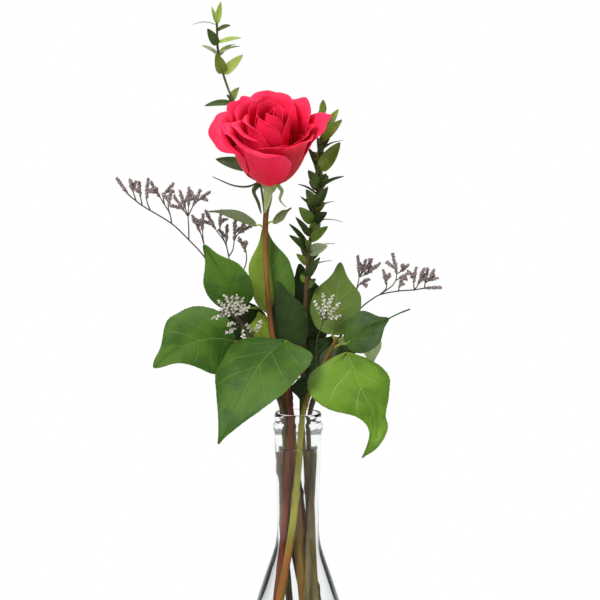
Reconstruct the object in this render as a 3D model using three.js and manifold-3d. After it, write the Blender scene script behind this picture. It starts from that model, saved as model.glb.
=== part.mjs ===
// A cut rose in a clear glass bud vase, with salal leaves, two myrtle twigs and two sprays of sea lavender.
// Millimetres, +Z up, the origin at the middle of the vase's base, the front towards -Y.

import Module from 'manifold-3d';
import * as THREE from 'three';
import { mergeVertices } from 'three/addons/utils/BufferGeometryUtils.js';

const wasm = await Module();
wasm.setup();

// Driving dimensions

const GAP = 0.3; // between pieces that touch
const BASE_RADIUS = 28;
const BULB_RADIUS = 35;
const BULB_HEIGHT = 46;
const NECK_RADIUS = 12.6;
const NECK_HEIGHT = 150;
const LIP_RADIUS = 14.2;
const BEAD_RADIUS = 15.1;
const VASE_HEIGHT = 218;
const WALL = 2;
const FLOOR = 4;
const WATER_HEIGHT = 196;
const VASE_SIDES = 32;

const LEAF_THICKNESS = 0.6;
const PETAL_THICKNESS = 0.5;
const SEPAL_THICKNESS = 0.6;
const DEGREE = Math.PI / 180;

const model = new THREE.Group();

function at(x, y, z) {
  return new THREE.Vector3(x, y, z);
}

function material(color, roughness, metalness = 0) {
  return new THREE.MeshStandardMaterial({ color, roughness, metalness });
}

const glass = material('#dfe8e8', 0.04);
const water = material('#d8e6e0', 0.02);
const petalRed = material('#e8204a', 0.55);
const roseGreen = material('#6f9a3c', 0.5);
const roseBark = material('#9a6a32', 0.6);
const salalGreen = material('#3f7a22', 0.38);
const salalLight = material('#6fa02a', 0.4);
const salalBark = material('#5a3a26', 0.7);
const myrtleDark = material('#38521f', 0.42);
const myrtleLight = material('#6f9a30', 0.42);
const floret = material('#b5a6a8', 0.8);

function add(name, geometry, surface) {
  const mesh = new THREE.Mesh(geometry, surface);
  mesh.name = name;
  model.add(mesh);
}

// Shapes

function closed(geometry) {
  const bare = geometry.clone();
  bare.deleteAttribute('normal');
  bare.deleteAttribute('uv');
  return mergeVertices(bare, 1e-4);
}

function shaped(geometry, place) {
  const bent = geometry.clone();
  const position = bent.attributes.position;
  const point = new THREE.Vector3();
  for (let i = 0; i < position.count; i += 1) {
    point.fromBufferAttribute(position, i);
    place(point);
    position.setXYZ(i, point.x, point.y, point.z);
  }
  return closed(bent);
}

function solid(geometry) {
  return new wasm.Manifold(new wasm.Mesh({
    numProp: 3,
    vertProperties: Float32Array.from(geometry.attributes.position.array),
    triVerts: Uint32Array.from(geometry.index.array),
  }));
}

function geometryOf(body) {
  const mesh = body.getMesh();
  const geometry = new THREE.BufferGeometry();
  geometry.setAttribute('position', new THREE.BufferAttribute(mesh.vertProperties, 3));
  geometry.setIndex(new THREE.BufferAttribute(mesh.triVerts, 1));
  return geometry;
}

// The largest body, without the crumbs and hairline edges that a join or cut can leave.
function largest(body) {
  const pieces = body.decompose();
  return geometryOf(pieces.reduce((big, next) => (next.volume() > big.volume() ? next : big)).simplify(0.01));
}

function joined(geometries) {
  return largest(geometries.map(solid).reduce((whole, next) => whole.add(next)));
}

// A body of revolution about Z, from [radius, height] pairs that start and end on the axis.
function turned(profile, sides) {
  const points = profile.map(([radius, height]) => new THREE.Vector2(radius, height));
  const geometry = new THREE.LatheGeometry(points, sides);
  geometry.rotateX(Math.PI / 2);
  return closed(geometry);
}

// A thin sheet whose middle follows surface(across, along), across from -1 to 1 and along from 0 to 1.
function sheet(columns, rows, thickness, surface) {
  const step = 0.002;
  return shaped(new THREE.BoxGeometry(2, 1, 1, columns, rows, 1), (point) => {
    const across = point.x;
    const along = point.y + 0.5;
    const side = surface(across + step, along).sub(surface(across - step, along));
    const onward = surface(across, along + step).sub(surface(across, along - step));
    const normal = side.cross(onward).normalize();
    const offset = point.z * thickness;
    point.copy(surface(across, along)).addScaledVector(normal, offset);
  });
}

// The centre line of a limb: a smooth curve through the points, in two straight steps between each pair.
function centreLine(points) {
  return new THREE.CatmullRomCurve3(points).getPoints((points.length - 1) * 2);
}

function onLine(line, share) {
  const place = THREE.MathUtils.clamp(share, 0, 1) * (line.length - 1);
  const before = Math.min(Math.floor(place), line.length - 2);
  const onward = line[before + 1].clone().sub(line[before]);
  return { centre: line[before].clone().addScaledVector(onward, place - before), onward: onward.normalize() };
}

// A round limb along its centre line, its radius given by radiusAt(0 to 1).
function limb(points, radiusAt, sides) {
  const line = centreLine(points);
  const steps = line.length - 1;
  let side = null;
  const frames = line.map((centre, i) => {
    const onward = line[Math.min(i + 1, steps)].clone().sub(line[Math.max(i - 1, 0)]).normalize();
    side ??= Math.abs(onward.x) < 0.8 ? at(1, 0, 0) : at(0, 1, 0);
    side = side.clone().projectOnPlane(onward).normalize();
    return { centre, side, other: side.clone().cross(onward) };
  });
  return shaped(new THREE.CylinderGeometry(1, 1, 1, sides, steps), (point) => {
    const station = Math.round((point.y + 0.5) * steps);
    const { centre, side: first, other } = frames[station];
    const radius = radiusAt(station / steps);
    const { x, z } = point;
    point.copy(centre).addScaledVector(first, x * radius).addScaledVector(other, z * radius);
  });
}

// A small leaf or spike: a flat diamond from root to tip that faces one way.
function blade(root, tip, face, width, thickness) {
  const onward = tip.clone().sub(root);
  const length = onward.length();
  onward.normalize();
  const side = onward.clone().cross(face).normalize();
  const normal = side.clone().cross(onward);
  return shaped(new THREE.OctahedronGeometry(1), (point) => {
    const { x, y, z } = point;
    point.copy(root).addScaledVector(onward, (y + 1) * length / 2);
    point.addScaledVector(side, x * width / 2);
    point.addScaledVector(normal, z * thickness / 2);
  });
}

function smooth(from, to, value) {
  return THREE.MathUtils.smoothstep(value, from, to);
}

// Vase: a flat foot, a round bulb, a flared shoulder, a slender neck, a bead and a lip.
// Outside and inside are one profile, which starts and ends on the axis.

const OUTSIDE = [
  [BASE_RADIUS, 0],
  [BASE_RADIUS + 2.4, 2.4],
  [BASE_RADIUS + 5.6, 20],
  [BULB_RADIUS, BULB_HEIGHT],
  [BULB_RADIUS - 3, 72],
  [BULB_RADIUS - 7, 92],
  [24, 106],
  [20.1, 118],
  [15.9, 130],
  [13.4, 139],
  [NECK_RADIUS, NECK_HEIGHT],
  [NECK_RADIUS + 0.9, 184],
  [LIP_RADIUS, 204],
  [BEAD_RADIUS, 208],
  [BEAD_RADIUS, 210.5],
  [LIP_RADIUS - 0.3, 212.6],
  [LIP_RADIUS, VASE_HEIGHT - 2.6],
];

const INSIDE = [
  [LIP_RADIUS - 1.4, VASE_HEIGHT - 0.6],
  [LIP_RADIUS - WALL, VASE_HEIGHT - 3],
  [LIP_RADIUS - WALL, 200],
  [NECK_RADIUS + 0.9 - WALL, 184],
  [NECK_RADIUS - WALL, NECK_HEIGHT],
  [13.4 - WALL, 139],
  [15.9 - WALL, 129],
  [20.1 - WALL, 117],
  [24 - WALL, 105],
  [BULB_RADIUS - 7 - WALL, 91],
  [BULB_RADIUS - 3 - WALL, 71],
  [BULB_RADIUS - WALL, BULB_HEIGHT],
  [BASE_RADIUS + 5.6 - WALL, 21],
  [BASE_RADIUS - 0.5, 6],
  [BASE_RADIUS - 3, FLOOR],
];

function makeVase() {
  const lip = [LIP_RADIUS - 0.7, VASE_HEIGHT];
  const profile = [[0, 0], ...OUTSIDE, lip, ...INSIDE, [0, FLOOR]];
  add('vase', turned(profile, VASE_SIDES), glass);
}

// Stems stand in the neck side by side round the rose, all turned the same way, so that none meet.

const HEAD = at(-16.8, -9, 359.5); // the middle of the hip's rim
const HEAD_AXIS = at(0.02, -0.5, 0.866).normalize();
const HEAD_RIGHT = at(1, 0, 0).projectOnPlane(HEAD_AXIS).normalize();
const HEAD_BACK = HEAD_AXIS.clone().cross(HEAD_RIGHT);
const HIP_DEPTH = 9.6;

const STEM_RING = 6.5;
const STEM_FOOT = 4.65;
const SPREAD_BELOW = 0.135;
const SPREAD_ABOVE = 0.095;

function throughNeck(lipAngle) {
  const lipTurn = Math.atan(SPREAD_ABOVE * (VASE_HEIGHT - NECK_HEIGHT) / STEM_RING);
  return [STEM_FOOT, 55, 105, NECK_HEIGHT, 186, VASE_HEIGHT].map((height) => {
    const spread = height < NECK_HEIGHT ? SPREAD_BELOW : SPREAD_ABOVE;
    const run = spread * (height - NECK_HEIGHT);
    const angle = lipAngle * DEGREE + Math.atan(run / STEM_RING) - lipTurn;
    const radius = Math.hypot(STEM_RING, run);
    return at(radius * Math.cos(angle) - 0.4, radius * Math.sin(angle), height);
  });
}

function underHip(distance) {
  return HEAD.clone().addScaledVector(HEAD_AXIS, -HIP_DEPTH - distance);
}

const STEMS = {
  rose_stem: {
    points: [
      at(9, 2, STEM_FOOT), at(6, 1.6, 60), at(2.4, 0.8, 110), at(-0.4, 0, 150), at(-2.6, -0.2, 186),
      at(-5.2, -0.5, 220), at(-11.4, -1.4, 244), at(-15.4, -1.8, 265), at(-18.2, -1.2, 292),
      at(-19.4, -0.8, 320), at(-19, -1.9, 339), underHip(5), underHip(GAP),
    ],
    radii: [2.4, 1.8],
    sides: 6,
    surface: roseBark,
  },
  salal_stem_front: {
    points: [...throughNeck(245), at(-7, -11, 238), at(-13, -12.5, 252), at(-21, -11.5, 261)],
    radii: [2.1, 1.1],
    sides: 5,
    surface: salalBark,
  },
  salal_stem_right: {
    points: [...throughNeck(292), at(9, -9.5, 236), at(17, -6.5, 251), at(23, -2.5, 263)],
    radii: [2.1, 1.1],
    sides: 5,
    surface: salalBark,
  },
  salal_stem_back: {
    points: [...throughNeck(116), at(-5.5, 10.5, 244), at(-7, 13, 268), at(-8, 13, 290)],
    radii: [2.1, 1.1],
    sides: 5,
    surface: salalBark,
  },
};

const TWIGS = {
  myrtle_left: [...throughNeck(158), at(-14.5, 8, 262), at(-18.5, 11.5, 300), at(-20.5, 14, 340),
    at(-27, 17, 375), at(-39, 17, 404), at(-45, 17, 421), at(-48, 16, 435), at(-48.6, 15, 452)],
  myrtle_right: [...throughNeck(72), at(3.2, 10, 250), at(4.6, 10.5, 285), at(6.4, 11, 313), at(9.4, 11, 334),
    at(12.2, 11, 352), at(13.6, 10, 376), at(15, 9, 400)],
};
const TWIG_RADII = [1.9, 0.6];

const SPRAYS = {
  limonium_left: [...throughNeck(200), at(-20, 0, 246), at(-38, 4, 279), at(-55.8, 4, 311), at(-65.4, 2, 322),
    at(-75.6, 0, 332), at(-88.2, -2, 340), at(-93, -2.4, 343), at(-96.6, -2.8, 345.8), at(-101, -3.2, 349.6),
    at(-107.4, -3.6, 358.6)],
  limonium_right: [...throughNeck(30), at(17, 10, 243), at(29, 14, 268), at(38.4, 13, 280), at(44.4, 11, 285),
    at(49.2, 10, 288), at(60.6, 9, 290.4), at(70.2, 8.4, 291.2), at(76.2, 8, 292.2), at(85.4, 8, 292.6)],
};
const SPRAY_RADII = [1.3, 0.4];

function tapered([from, to]) {
  return (along) => THREE.MathUtils.lerp(from, to, along);
}

function makeStems() {
  for (const [name, { points, radii, sides, surface }] of Object.entries(STEMS)) {
    add(name, limb(points, tapered(radii), sides), surface);
  }
}

// Water fills the vase to its level, and leaves room for each stem.

function makeWater() {
  const level = [[0, WATER_HEIGHT], [LIP_RADIUS - WALL - GAP - 0.2, WATER_HEIGHT]];
  const below = INSIDE.filter(([, height]) => height < WATER_HEIGHT);
  const wetted = below.map(([radius, height]) => [radius - GAP, height]);
  const last = wetted.length - 1;
  wetted[last] = [wetted[last][0] - GAP, FLOOR + GAP];
  let body = solid(turned([[0, FLOOR + GAP], ...wetted.reverse(), ...level.reverse()], VASE_SIDES));
  const room = GAP * 1.4;
  const stems = [
    ...Object.values(STEMS),
    ...Object.values(TWIGS).map((points) => ({ points, radii: TWIG_RADII, sides: 5 })),
    ...Object.values(SPRAYS).map((points) => ({ points, radii: SPRAY_RADII, sides: 5 })),
  ];
  for (const { points, radii: [from, to], sides } of stems) {
    body = body.subtract(solid(limb(points, tapered([from + room, to + room]), sides)));
    const foot = [points[0].clone().add(at(0, 0, 2)), points[0].clone().add(at(0, 0, -2))];
    body = body.subtract(solid(limb(foot, () => from + 2 * room, sides)));
  }
  add('water', largest(body), water);
}

// Rose: petals stand in rings round the hip, each ring inside the next, on a family of nested cups.

const CENTRE_HEIGHT = 50;
const RIM_DROP = 7.5;

function inHead(angle, radius, height) {
  const point = HEAD.clone().addScaledVector(HEAD_AXIS, height);
  point.addScaledVector(HEAD_RIGHT, radius * Math.cos(angle));
  return point.addScaledVector(HEAD_BACK, radius * Math.sin(angle));
}

// The cup of layer 0, the heart, to layer 1, the outermost petals; up goes from 0 at the hip to 1 at the rim.
function cup(layer, up) {
  const foot = 1.3 + 5.2 * layer;
  const footHeight = 6 * (1 - layer);
  const girth = 4 + 26.5 * layer;
  const closing = 0.42 * (1 - layer) * girth * Math.max(0, (up - 0.5) / 0.5) ** 2;
  const rolling = 5.5 * layer ** 2 * Math.max(0, (up - 0.7) / 0.3) ** 2;
  const radius = foot + (girth - foot) * up ** (0.42 + 0.18 * layer) - closing + rolling;
  const height = footHeight + (CENTRE_HEIGHT - RIM_DROP * layer - footHeight) * up - 0.5 * rolling * up;
  return [radius, height];
}

const RINGS = [
  { layer: 1.0, petals: 5, start: 22, halfAngle: 47, lean: 0.047 },
  { layer: 0.84, petals: 5, start: 58, halfAngle: 50, lean: 0.042 },
  { layer: 0.68, petals: 5, start: 4, halfAngle: 52, lean: 0.044 },
  { layer: 0.52, petals: 4, start: 40, halfAngle: 62, lean: 0.046 },
  { layer: 0.36, petals: 3, start: 15, halfAngle: 82, lean: 0.05 },
  { layer: 0.2, petals: 2, start: 70, halfAngle: 115, lean: 0.05 },
];
const HEART = { layer: 0.045, start: 130, halfAngle: 172, lean: 0.035 };

function petal(angle, layer, halfAngle, lean) {
  const claw = halfAngle * 0.45;
  return sheet(4, 5, PETAL_THICKNESS, (across, along) => {
    const reach = 1 - 0.16 * Math.abs(across) ** 3;
    const up = Math.max(0, along) ** 1.25 * reach;
    const width = claw + (halfAngle - claw) * smooth(0.12, 0.68, along);
    const turn = (angle + across * width) * DEGREE;
    const [radius, height] = cup(layer + lean * across, up);
    return inHead(turn, radius, height);
  });
}

function makePetals() {
  let number = 1;
  for (const { layer, petals, start, halfAngle, lean } of RINGS) {
    for (let i = 0; i < petals; i += 1) {
      const name = `rose_petal_${String(number).padStart(2, '0')}`;
      add(name, petal(start + i * 360 / petals, layer, halfAngle, lean), petalRed);
      number += 1;
    }
  }
  add('rose_heart', petal(HEART.start, HEART.layer, HEART.halfAngle, HEART.lean), petalRed);
}

// Hip: a small urn under the petals, with the cone that carries them.

function makeHip() {
  const profile = [
    [0, -HIP_DEPTH], [2.2, -HIP_DEPTH], [3.4, -8], [4.5, -5], [4.8, -2.4], [6.4, -1.2], [0.6, 5.4], [0, 5.6],
  ];
  const hip = turned(profile, 10);
  const place = new THREE.Matrix4().makeBasis(HEAD_RIGHT, HEAD_BACK, HEAD_AXIS).setPosition(HEAD);
  hip.applyMatrix4(place);
  add('rose_hip', hip, roseGreen);
}

// Sepals: five long narrow strips from under the petals, three down along the stem and one out to the left.

const SEPALS = [
  { angle: 262, width: 5, run: [at(-17.8, -11, 349), at(-18.6, -8, 344), at(-19.6, -6.5, 339)] },
  { angle: 205, width: 3.6, run: [at(-26, -9.5, 352.8), at(-23.4, -6.5, 345), at(-21.9, -5, 338.4)] },
  { angle: 325, width: 2.4, run: [at(-9.6, -10.8, 352.6), at(-10.6, -9.5, 347.6), at(-7, -8.4, 342.4)] },
  { angle: 165, width: 2.2, run: [at(-29, -7, 354.8), at(-37, -7, 355), at(-51, -6, 360.6)] },
  { angle: 70, width: 4, run: [at(-13, 1.5, 360), at(-11.6, 5, 357), at(-10.8, 7, 352)] },
];
const SEPAL_TIP = 0.35; // half the width of a sepal at its tip

function makeSepals() {
  SEPALS.forEach(({ angle, width, run }, index) => {
    const outward = inHead(angle * DEGREE, 1, 0).sub(HEAD);
    const side = outward.clone().cross(HEAD_AXIS).negate().normalize();
    const middle = new THREE.CatmullRomCurve3([inHead(angle * DEGREE, 5.7, -2.6), ...run]);
    const geometry = sheet(2, 6, SEPAL_THICKNESS, (across, along) => {
      const share = THREE.MathUtils.clamp(along, 0, 1);
      const shape = Math.min(1, 0.55 + 3 * share) * (1 - share) ** 0.7;
      const half = SEPAL_TIP + (width / 2 - SEPAL_TIP) * shape;
      return middle.getPoint(share).addScaledVector(side, across * half);
    });
    add(`rose_sepal_${index + 1}`, geometry, roseGreen);
  });
}

// Leaves: a blade on a curved midrib, on its own stalk, which starts on the stem's bark.

function atHeight(line, height) {
  const above = Math.max(1, line.findIndex(({ z }) => z > height));
  const share = (height - line[above - 1].z) / (line[above].z - line[above - 1].z);
  const along = (above - 1 + share) / (line.length - 1);
  return { along, ...onLine(line, along) };
}

// Half the width of a blade at a share of its length: round at the foot, drawn out to a fine tip.
function outline(along) {
  const share = THREE.MathUtils.clamp(along, 0.02, 0.985);
  return Math.sin(Math.PI * share ** 0.72) ** 0.55 * (1 - 0.55 * smooth(0.55, 0.9, share));
}

// A half width at a share of the length, from half widths at equal steps.
function margin(widths, share) {
  const steps = widths.map((width, step) => new THREE.Vector2(step, width));
  return new THREE.SplineCurve(steps).getPoint(share).y;
}

// The blade's outline is the common one, width across, or its own two margins. The midrib bends once, or
// runs through the points of its rib.
function leaf({
  stem, height, via, base, bend, tip, rib, face, width, margins, rows = 5,
  fold = 0.15, droop = 0.2, stalk = 0.75, body = 1,
}) {
  const { points, radii } = STEMS[stem];
  const midrib = rib ? new THREE.CatmullRomCurve3([base, ...rib, tip])
    : new THREE.QuadraticBezierCurve3(base, bend, tip);
  const surface = (across, along) => {
    const share = THREE.MathUtils.clamp(along, 0, 1);
    const tangent = midrib.getTangent(share);
    const side = tangent.clone().cross(face).normalize();
    const normal = side.clone().cross(tangent);
    const half = margins ? margin(margins[across < 0 ? 0 : 1], share) : (width / 2) * outline(along / body);
    const rise = half * (fold * Math.abs(across) - droop * across * across);
    return midrib.getPoint(share).addScaledVector(side, across * half).addScaledVector(normal, rise);
  };
  const { along: place, centre, onward } = atHeight(centreLine(points), height);
  const away = (via ?? base).clone().sub(centre).projectOnPlane(onward).normalize();
  const bark = THREE.MathUtils.lerp(radii[0], radii[1], place);
  const root = centre.clone().addScaledVector(away, bark + GAP + 0.6 * stalk);
  const arc = via ?? root.clone().lerp(base, 0.55).add(at(0, 0, 0.8));
  const petiole = limb([root, arc, base, midrib.getPoint(0.08)], () => stalk, 5);
  return joined([sheet(4, rows, LEAF_THICKNESS, surface), petiole]);
}

const SALAL = {
  salal_leaf_front: {
    stem: 'salal_stem_front', height: 246, rows: 8,
    margins: [[6, 22, 26, 26, 25, 22, 16, 7.5, 0.3], [6, 18, 22.5, 25, 25, 24, 16, 7, 0.3]],
    base: at(-6.5, -16.5, 263), bend: at(-22, -46, 263), tip: at(-46.5, -58, 208), face: at(-0.25, -0.7, 0.6),
  },
  salal_leaf_left: {
    stem: 'salal_stem_front', height: 260.5, width: 50,
    base: at(-38, -8.5, 262), bend: at(-60, -19, 270.5), tip: at(-85, -36, 250), face: at(-0.1, -0.8, 0.55),
  },
  salal_leaf_right: {
    stem: 'salal_stem_right', height: 249, rows: 8,
    margins: [[6, 18, 21, 16, 9, 8.5, 7, 5, 0.3], [6, 26, 32, 26, 12, 5.5, 2.5, 1, 0.3]],
    base: at(29.5, -13, 255.5), rib: [at(36, -27, 238.6), at(44.2, -38, 222.3), at(44.4, -42, 211.8)],
    tip: at(37.8, -43, 197.3), face: at(0.2, -0.5, 0.84),
  },
  salal_leaf_upper_left: {
    stem: 'salal_stem_back', height: 274, width: 28, fold: 0.35, via: at(-20, 11.5, 279),
    base: at(-33, -5, 283), bend: at(-43, -10, 299), tip: at(-56, -9, 320), face: at(-0.3, -0.9, 0.1),
  },
  salal_leaf_upper_right: {
    stem: 'salal_stem_right', height: 262, width: 31,
    base: at(20.5, 5, 264.5), bend: at(24, 11, 285), tip: at(25.5, 16, 307), face: at(0.2, 0.95, -0.1),
  },
  salal_leaf_rolled: {
    stem: 'salal_stem_right', height: 258, width: 26, fold: 0.3, body: 0.62,
    base: at(29, -3, 260), bend: at(52, -10, 276), tip: at(67, -5, 281), face: at(-0.3, -0.85, 0.45),
  },
  salal_leaf_pale: {
    stem: 'salal_stem_right', height: 261, width: 15, stalk: 0.6,
    base: at(36, 6, 268), bend: at(47, 7, 263), tip: at(43, 7, 242), face: at(0.1, 0.9, 0.3),
  },
  salal_leaf_upright: {
    stem: 'salal_stem_back', height: 268, width: 27,
    base: at(-11.5, 5.5, 277), bend: at(-17.5, 4, 303), tip: at(-20.5, 6, 330), face: at(0.1, -1, 0.1),
  },
  salal_leaf_inner: {
    stem: 'salal_stem_back', height: 250, width: 22,
    base: at(-2.8, 4.5, 256), bend: at(-4.5, 1.5, 277), tip: at(-12, 2.5, 297), face: at(0.1, -1, 0),
  },
  salal_leaf_shaded: {
    stem: 'salal_stem_right', height: 238, width: 20,
    base: at(17, -1.5, 243), bend: at(24, 1, 251), tip: at(37, 3, 258), face: at(-0.2, -0.9, 0.3),
  },
  salal_leaf_low: {
    stem: 'salal_stem_back', height: 238, width: 20,
    base: at(0, 14, 240), bend: at(10, 14.5, 252), tip: at(22, 16, 262), face: at(0.1, -1, 0.1),
  },
  salal_leaf_middle: {
    stem: 'salal_stem_back', height: 254, width: 34,
    base: at(1, 18, 254), bend: at(6, 19.5, 280), tip: at(1, 18.5, 306), face: at(0.1, -1, 0.1),
  },
  salal_leaf_tucked: {
    stem: 'salal_stem_front', height: 255, width: 16,
    base: at(-21, 4.5, 262), bend: at(-21, 5.5, 271), tip: at(-24, 5.5, 278), face: at(0.1, -1, 0),
  },
  salal_leaf_behind: {
    stem: 'salal_stem_back', height: 260, width: 28,
    base: at(-22, 14, 262), bend: at(-35, 11, 272), tip: at(-48, 9, 278), face: at(0.1, -1, 0.1),
  },
  salal_leaf_under: {
    stem: 'salal_stem_back', height: 235, width: 14,
    base: at(0.5, 5.5, 237.5), bend: at(4, 4.5, 234), tip: at(2.5, 4, 221), face: at(0.1, -1, 0),
  },
  salal_leaf_back_left: {
    stem: 'salal_stem_back', height: 240, width: 42,
    base: at(-12, 20, 243), bend: at(-22, 44, 252), tip: at(-32, 66, 218), face: at(-0.2, 0.6, 0.7),
  },
  salal_leaf_back_right: {
    stem: 'salal_stem_back', height: 250, width: 38,
    base: at(2, 26, 252), bend: at(18, 42, 262), tip: at(36, 60, 232), face: at(0.2, 0.6, 0.7),
  },
};

const ROSE_LEAVES = {
  rose_leaf_left: {
    stem: 'rose_stem', height: 330, width: 9, stalk: 0.6,
    base: at(-25, -1, 331), bend: at(-38, -2, 341), tip: at(-55, -3, 339), face: at(0.1, -0.5, 0.9),
  },
  rose_leaf_right: {
    stem: 'rose_stem', height: 332, width: 8, stalk: 0.6,
    base: at(-15, -2, 333), bend: at(-10, -4, 337), tip: at(-4, -6, 342), face: at(-0.2, -0.6, 0.8),
  },
};

function makeLeaves() {
  const light = ['salal_leaf_right', 'salal_leaf_upright'];
  for (const [name, shape] of Object.entries(SALAL)) {
    add(name, leaf(shape), light.includes(name) ? salalLight : salalGreen);
  }
  for (const [name, shape] of Object.entries(ROSE_LEAVES)) {
    add(name, leaf(shape), roseGreen);
  }
}

// Myrtle: a twig with pointed leaves. Each springs from the twig at a height and runs to its tip; its face
// looks up along the twig, or as much to the front as the last number says.

const LEFT_LEAVES = [
  [450.5, at(-46.1, 12, 464), 3.8, 1], [450.5, at(-51.7, 16, 461), 2.4, 0.6],
  [446.5, at(-40.4, 10, 450), 4, 0.5], [438, at(-54, 8, 448), 5.6, 1],
  [439.4, at(-34, 14, 442.4), 3.4, 0.5], [432.4, at(-34.8, 20, 437.3), 2.6, 0.2],
  [432, at(-57.6, 20, 437.7), 3, 0.3], [421, at(-48.8, 4, 433.5), 7, 0.8],
  [420.7, at(-33, 9, 432.4), 6, 1], [450, at(-63.2, 22, 450.3), 1.8, 0],
  [403, at(-56, 12, 401.8), 5, 0.5], [402, at(-42.8, 14, 408.4), 3, 0],
  [364, at(-49.8, 20, 369.3), 8, 1], [431, at(-38, 31, 438), 5, 0],
  [404, at(-36, 32, 412), 6, 0], [385, at(-26, 31, 394), 6, 0],
];

const RIGHT_LEAVES = [
  [397, at(15, 8, 405.7), 4.4, 1], [385, at(24.3, 12, 399.8), 5.4, 1],
  [381, at(26.4, 6, 393.9), 6, 0.8], [373.7, at(11.4, 5, 383.5), 3.8, 0.5],
  [374, at(19.2, 8, 383), 3.6, 0.4], [362.8, at(25.2, 2, 380.6), 8.8, 1],
  [374.8, at(27, 16, 380.8), 2.6, 0], [361.6, at(6, 12, 377), 4, 0.4],
  [353, at(6, 3, 363.7), 6.5, 0.8], [352, at(27.6, 8, 359.8), 4, 0.3],
  [348, at(0, 14, 354.6), 2.6, 0.2], [341, at(4.8, 3, 352.3), 6.5, 0.8],
  [341, at(18, 5, 353.8), 5.5, 0.7], [337.6, at(1.2, 18, 347), 1.8, 0],
  [338.8, at(1.8, 4, 347.3), 3, 0.5], [331.6, at(0.6, 2, 341.6), 7, 1],
  [331.6, at(17.4, 3, 338.5), 6.5, 0.8], [331.6, at(27, 15, 331.7), 1.8, 0],
  [338.2, at(21.9, 18, 344), 1.8, 0], [323.3, at(-1.5, 5, 335.5), 3.8, 0.8],
  [314.8, at(-5.4, 14, 330.6), 4.5, 0.3], [313.6, at(-5.4, 4, 324.7), 5, 0.6],
  [320.8, at(18, 4, 329.9), 6, 0.8], [314.2, at(22.2, 16, 318.4), 2.5, 0],
  [313.6, at(17.7, 4, 318.2), 7.5, 0.8], [307.6, at(12.6, 8, 313.3), 4, 0.6],
  [298, at(13.2, 8, 310.9), 5, 0.6], [302.8, at(20.4, 17, 308), 1.8, 0],
  [390, at(14, 22, 399), 6, 0], [377, at(20, 23, 386), 6.5, 0],
  [364, at(11, 25, 373), 6.5, 0], [350, at(18, 25, 359), 6.5, 0],
  [336, at(5, 24, 345), 6.5, 0], [322, at(13, 25, 331), 6.5, 0],
  [308, at(2, 24, 317), 6, 0],
];

function twig(points, leaves) {
  const line = centreLine(points);
  const pieces = [limb(points, tapered(TWIG_RADII), 5)];
  for (const [height, tip, width, front] of leaves) {
    const { centre, onward } = atHeight(line, height);
    const face = onward.multiplyScalar(0.8).sub(tip.clone().sub(centre).normalize());
    pieces.push(blade(centre, tip, face.lerp(at(0, -1, 0.2), front), width, 1));
  }
  return joined(pieces);
}

function makeTwigs() {
  add('myrtle_left', twig(TWIGS.myrtle_left, LEFT_LEAVES), myrtleLight);
  add('myrtle_right', twig(TWIGS.myrtle_right, RIGHT_LEAVES), myrtleDark);
}

// Sea lavender: a wiry main stem and its sprigs. Each sprig starts on the stem or on another sprig, and its
// last stretch, to the tip, carries the florets.

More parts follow.
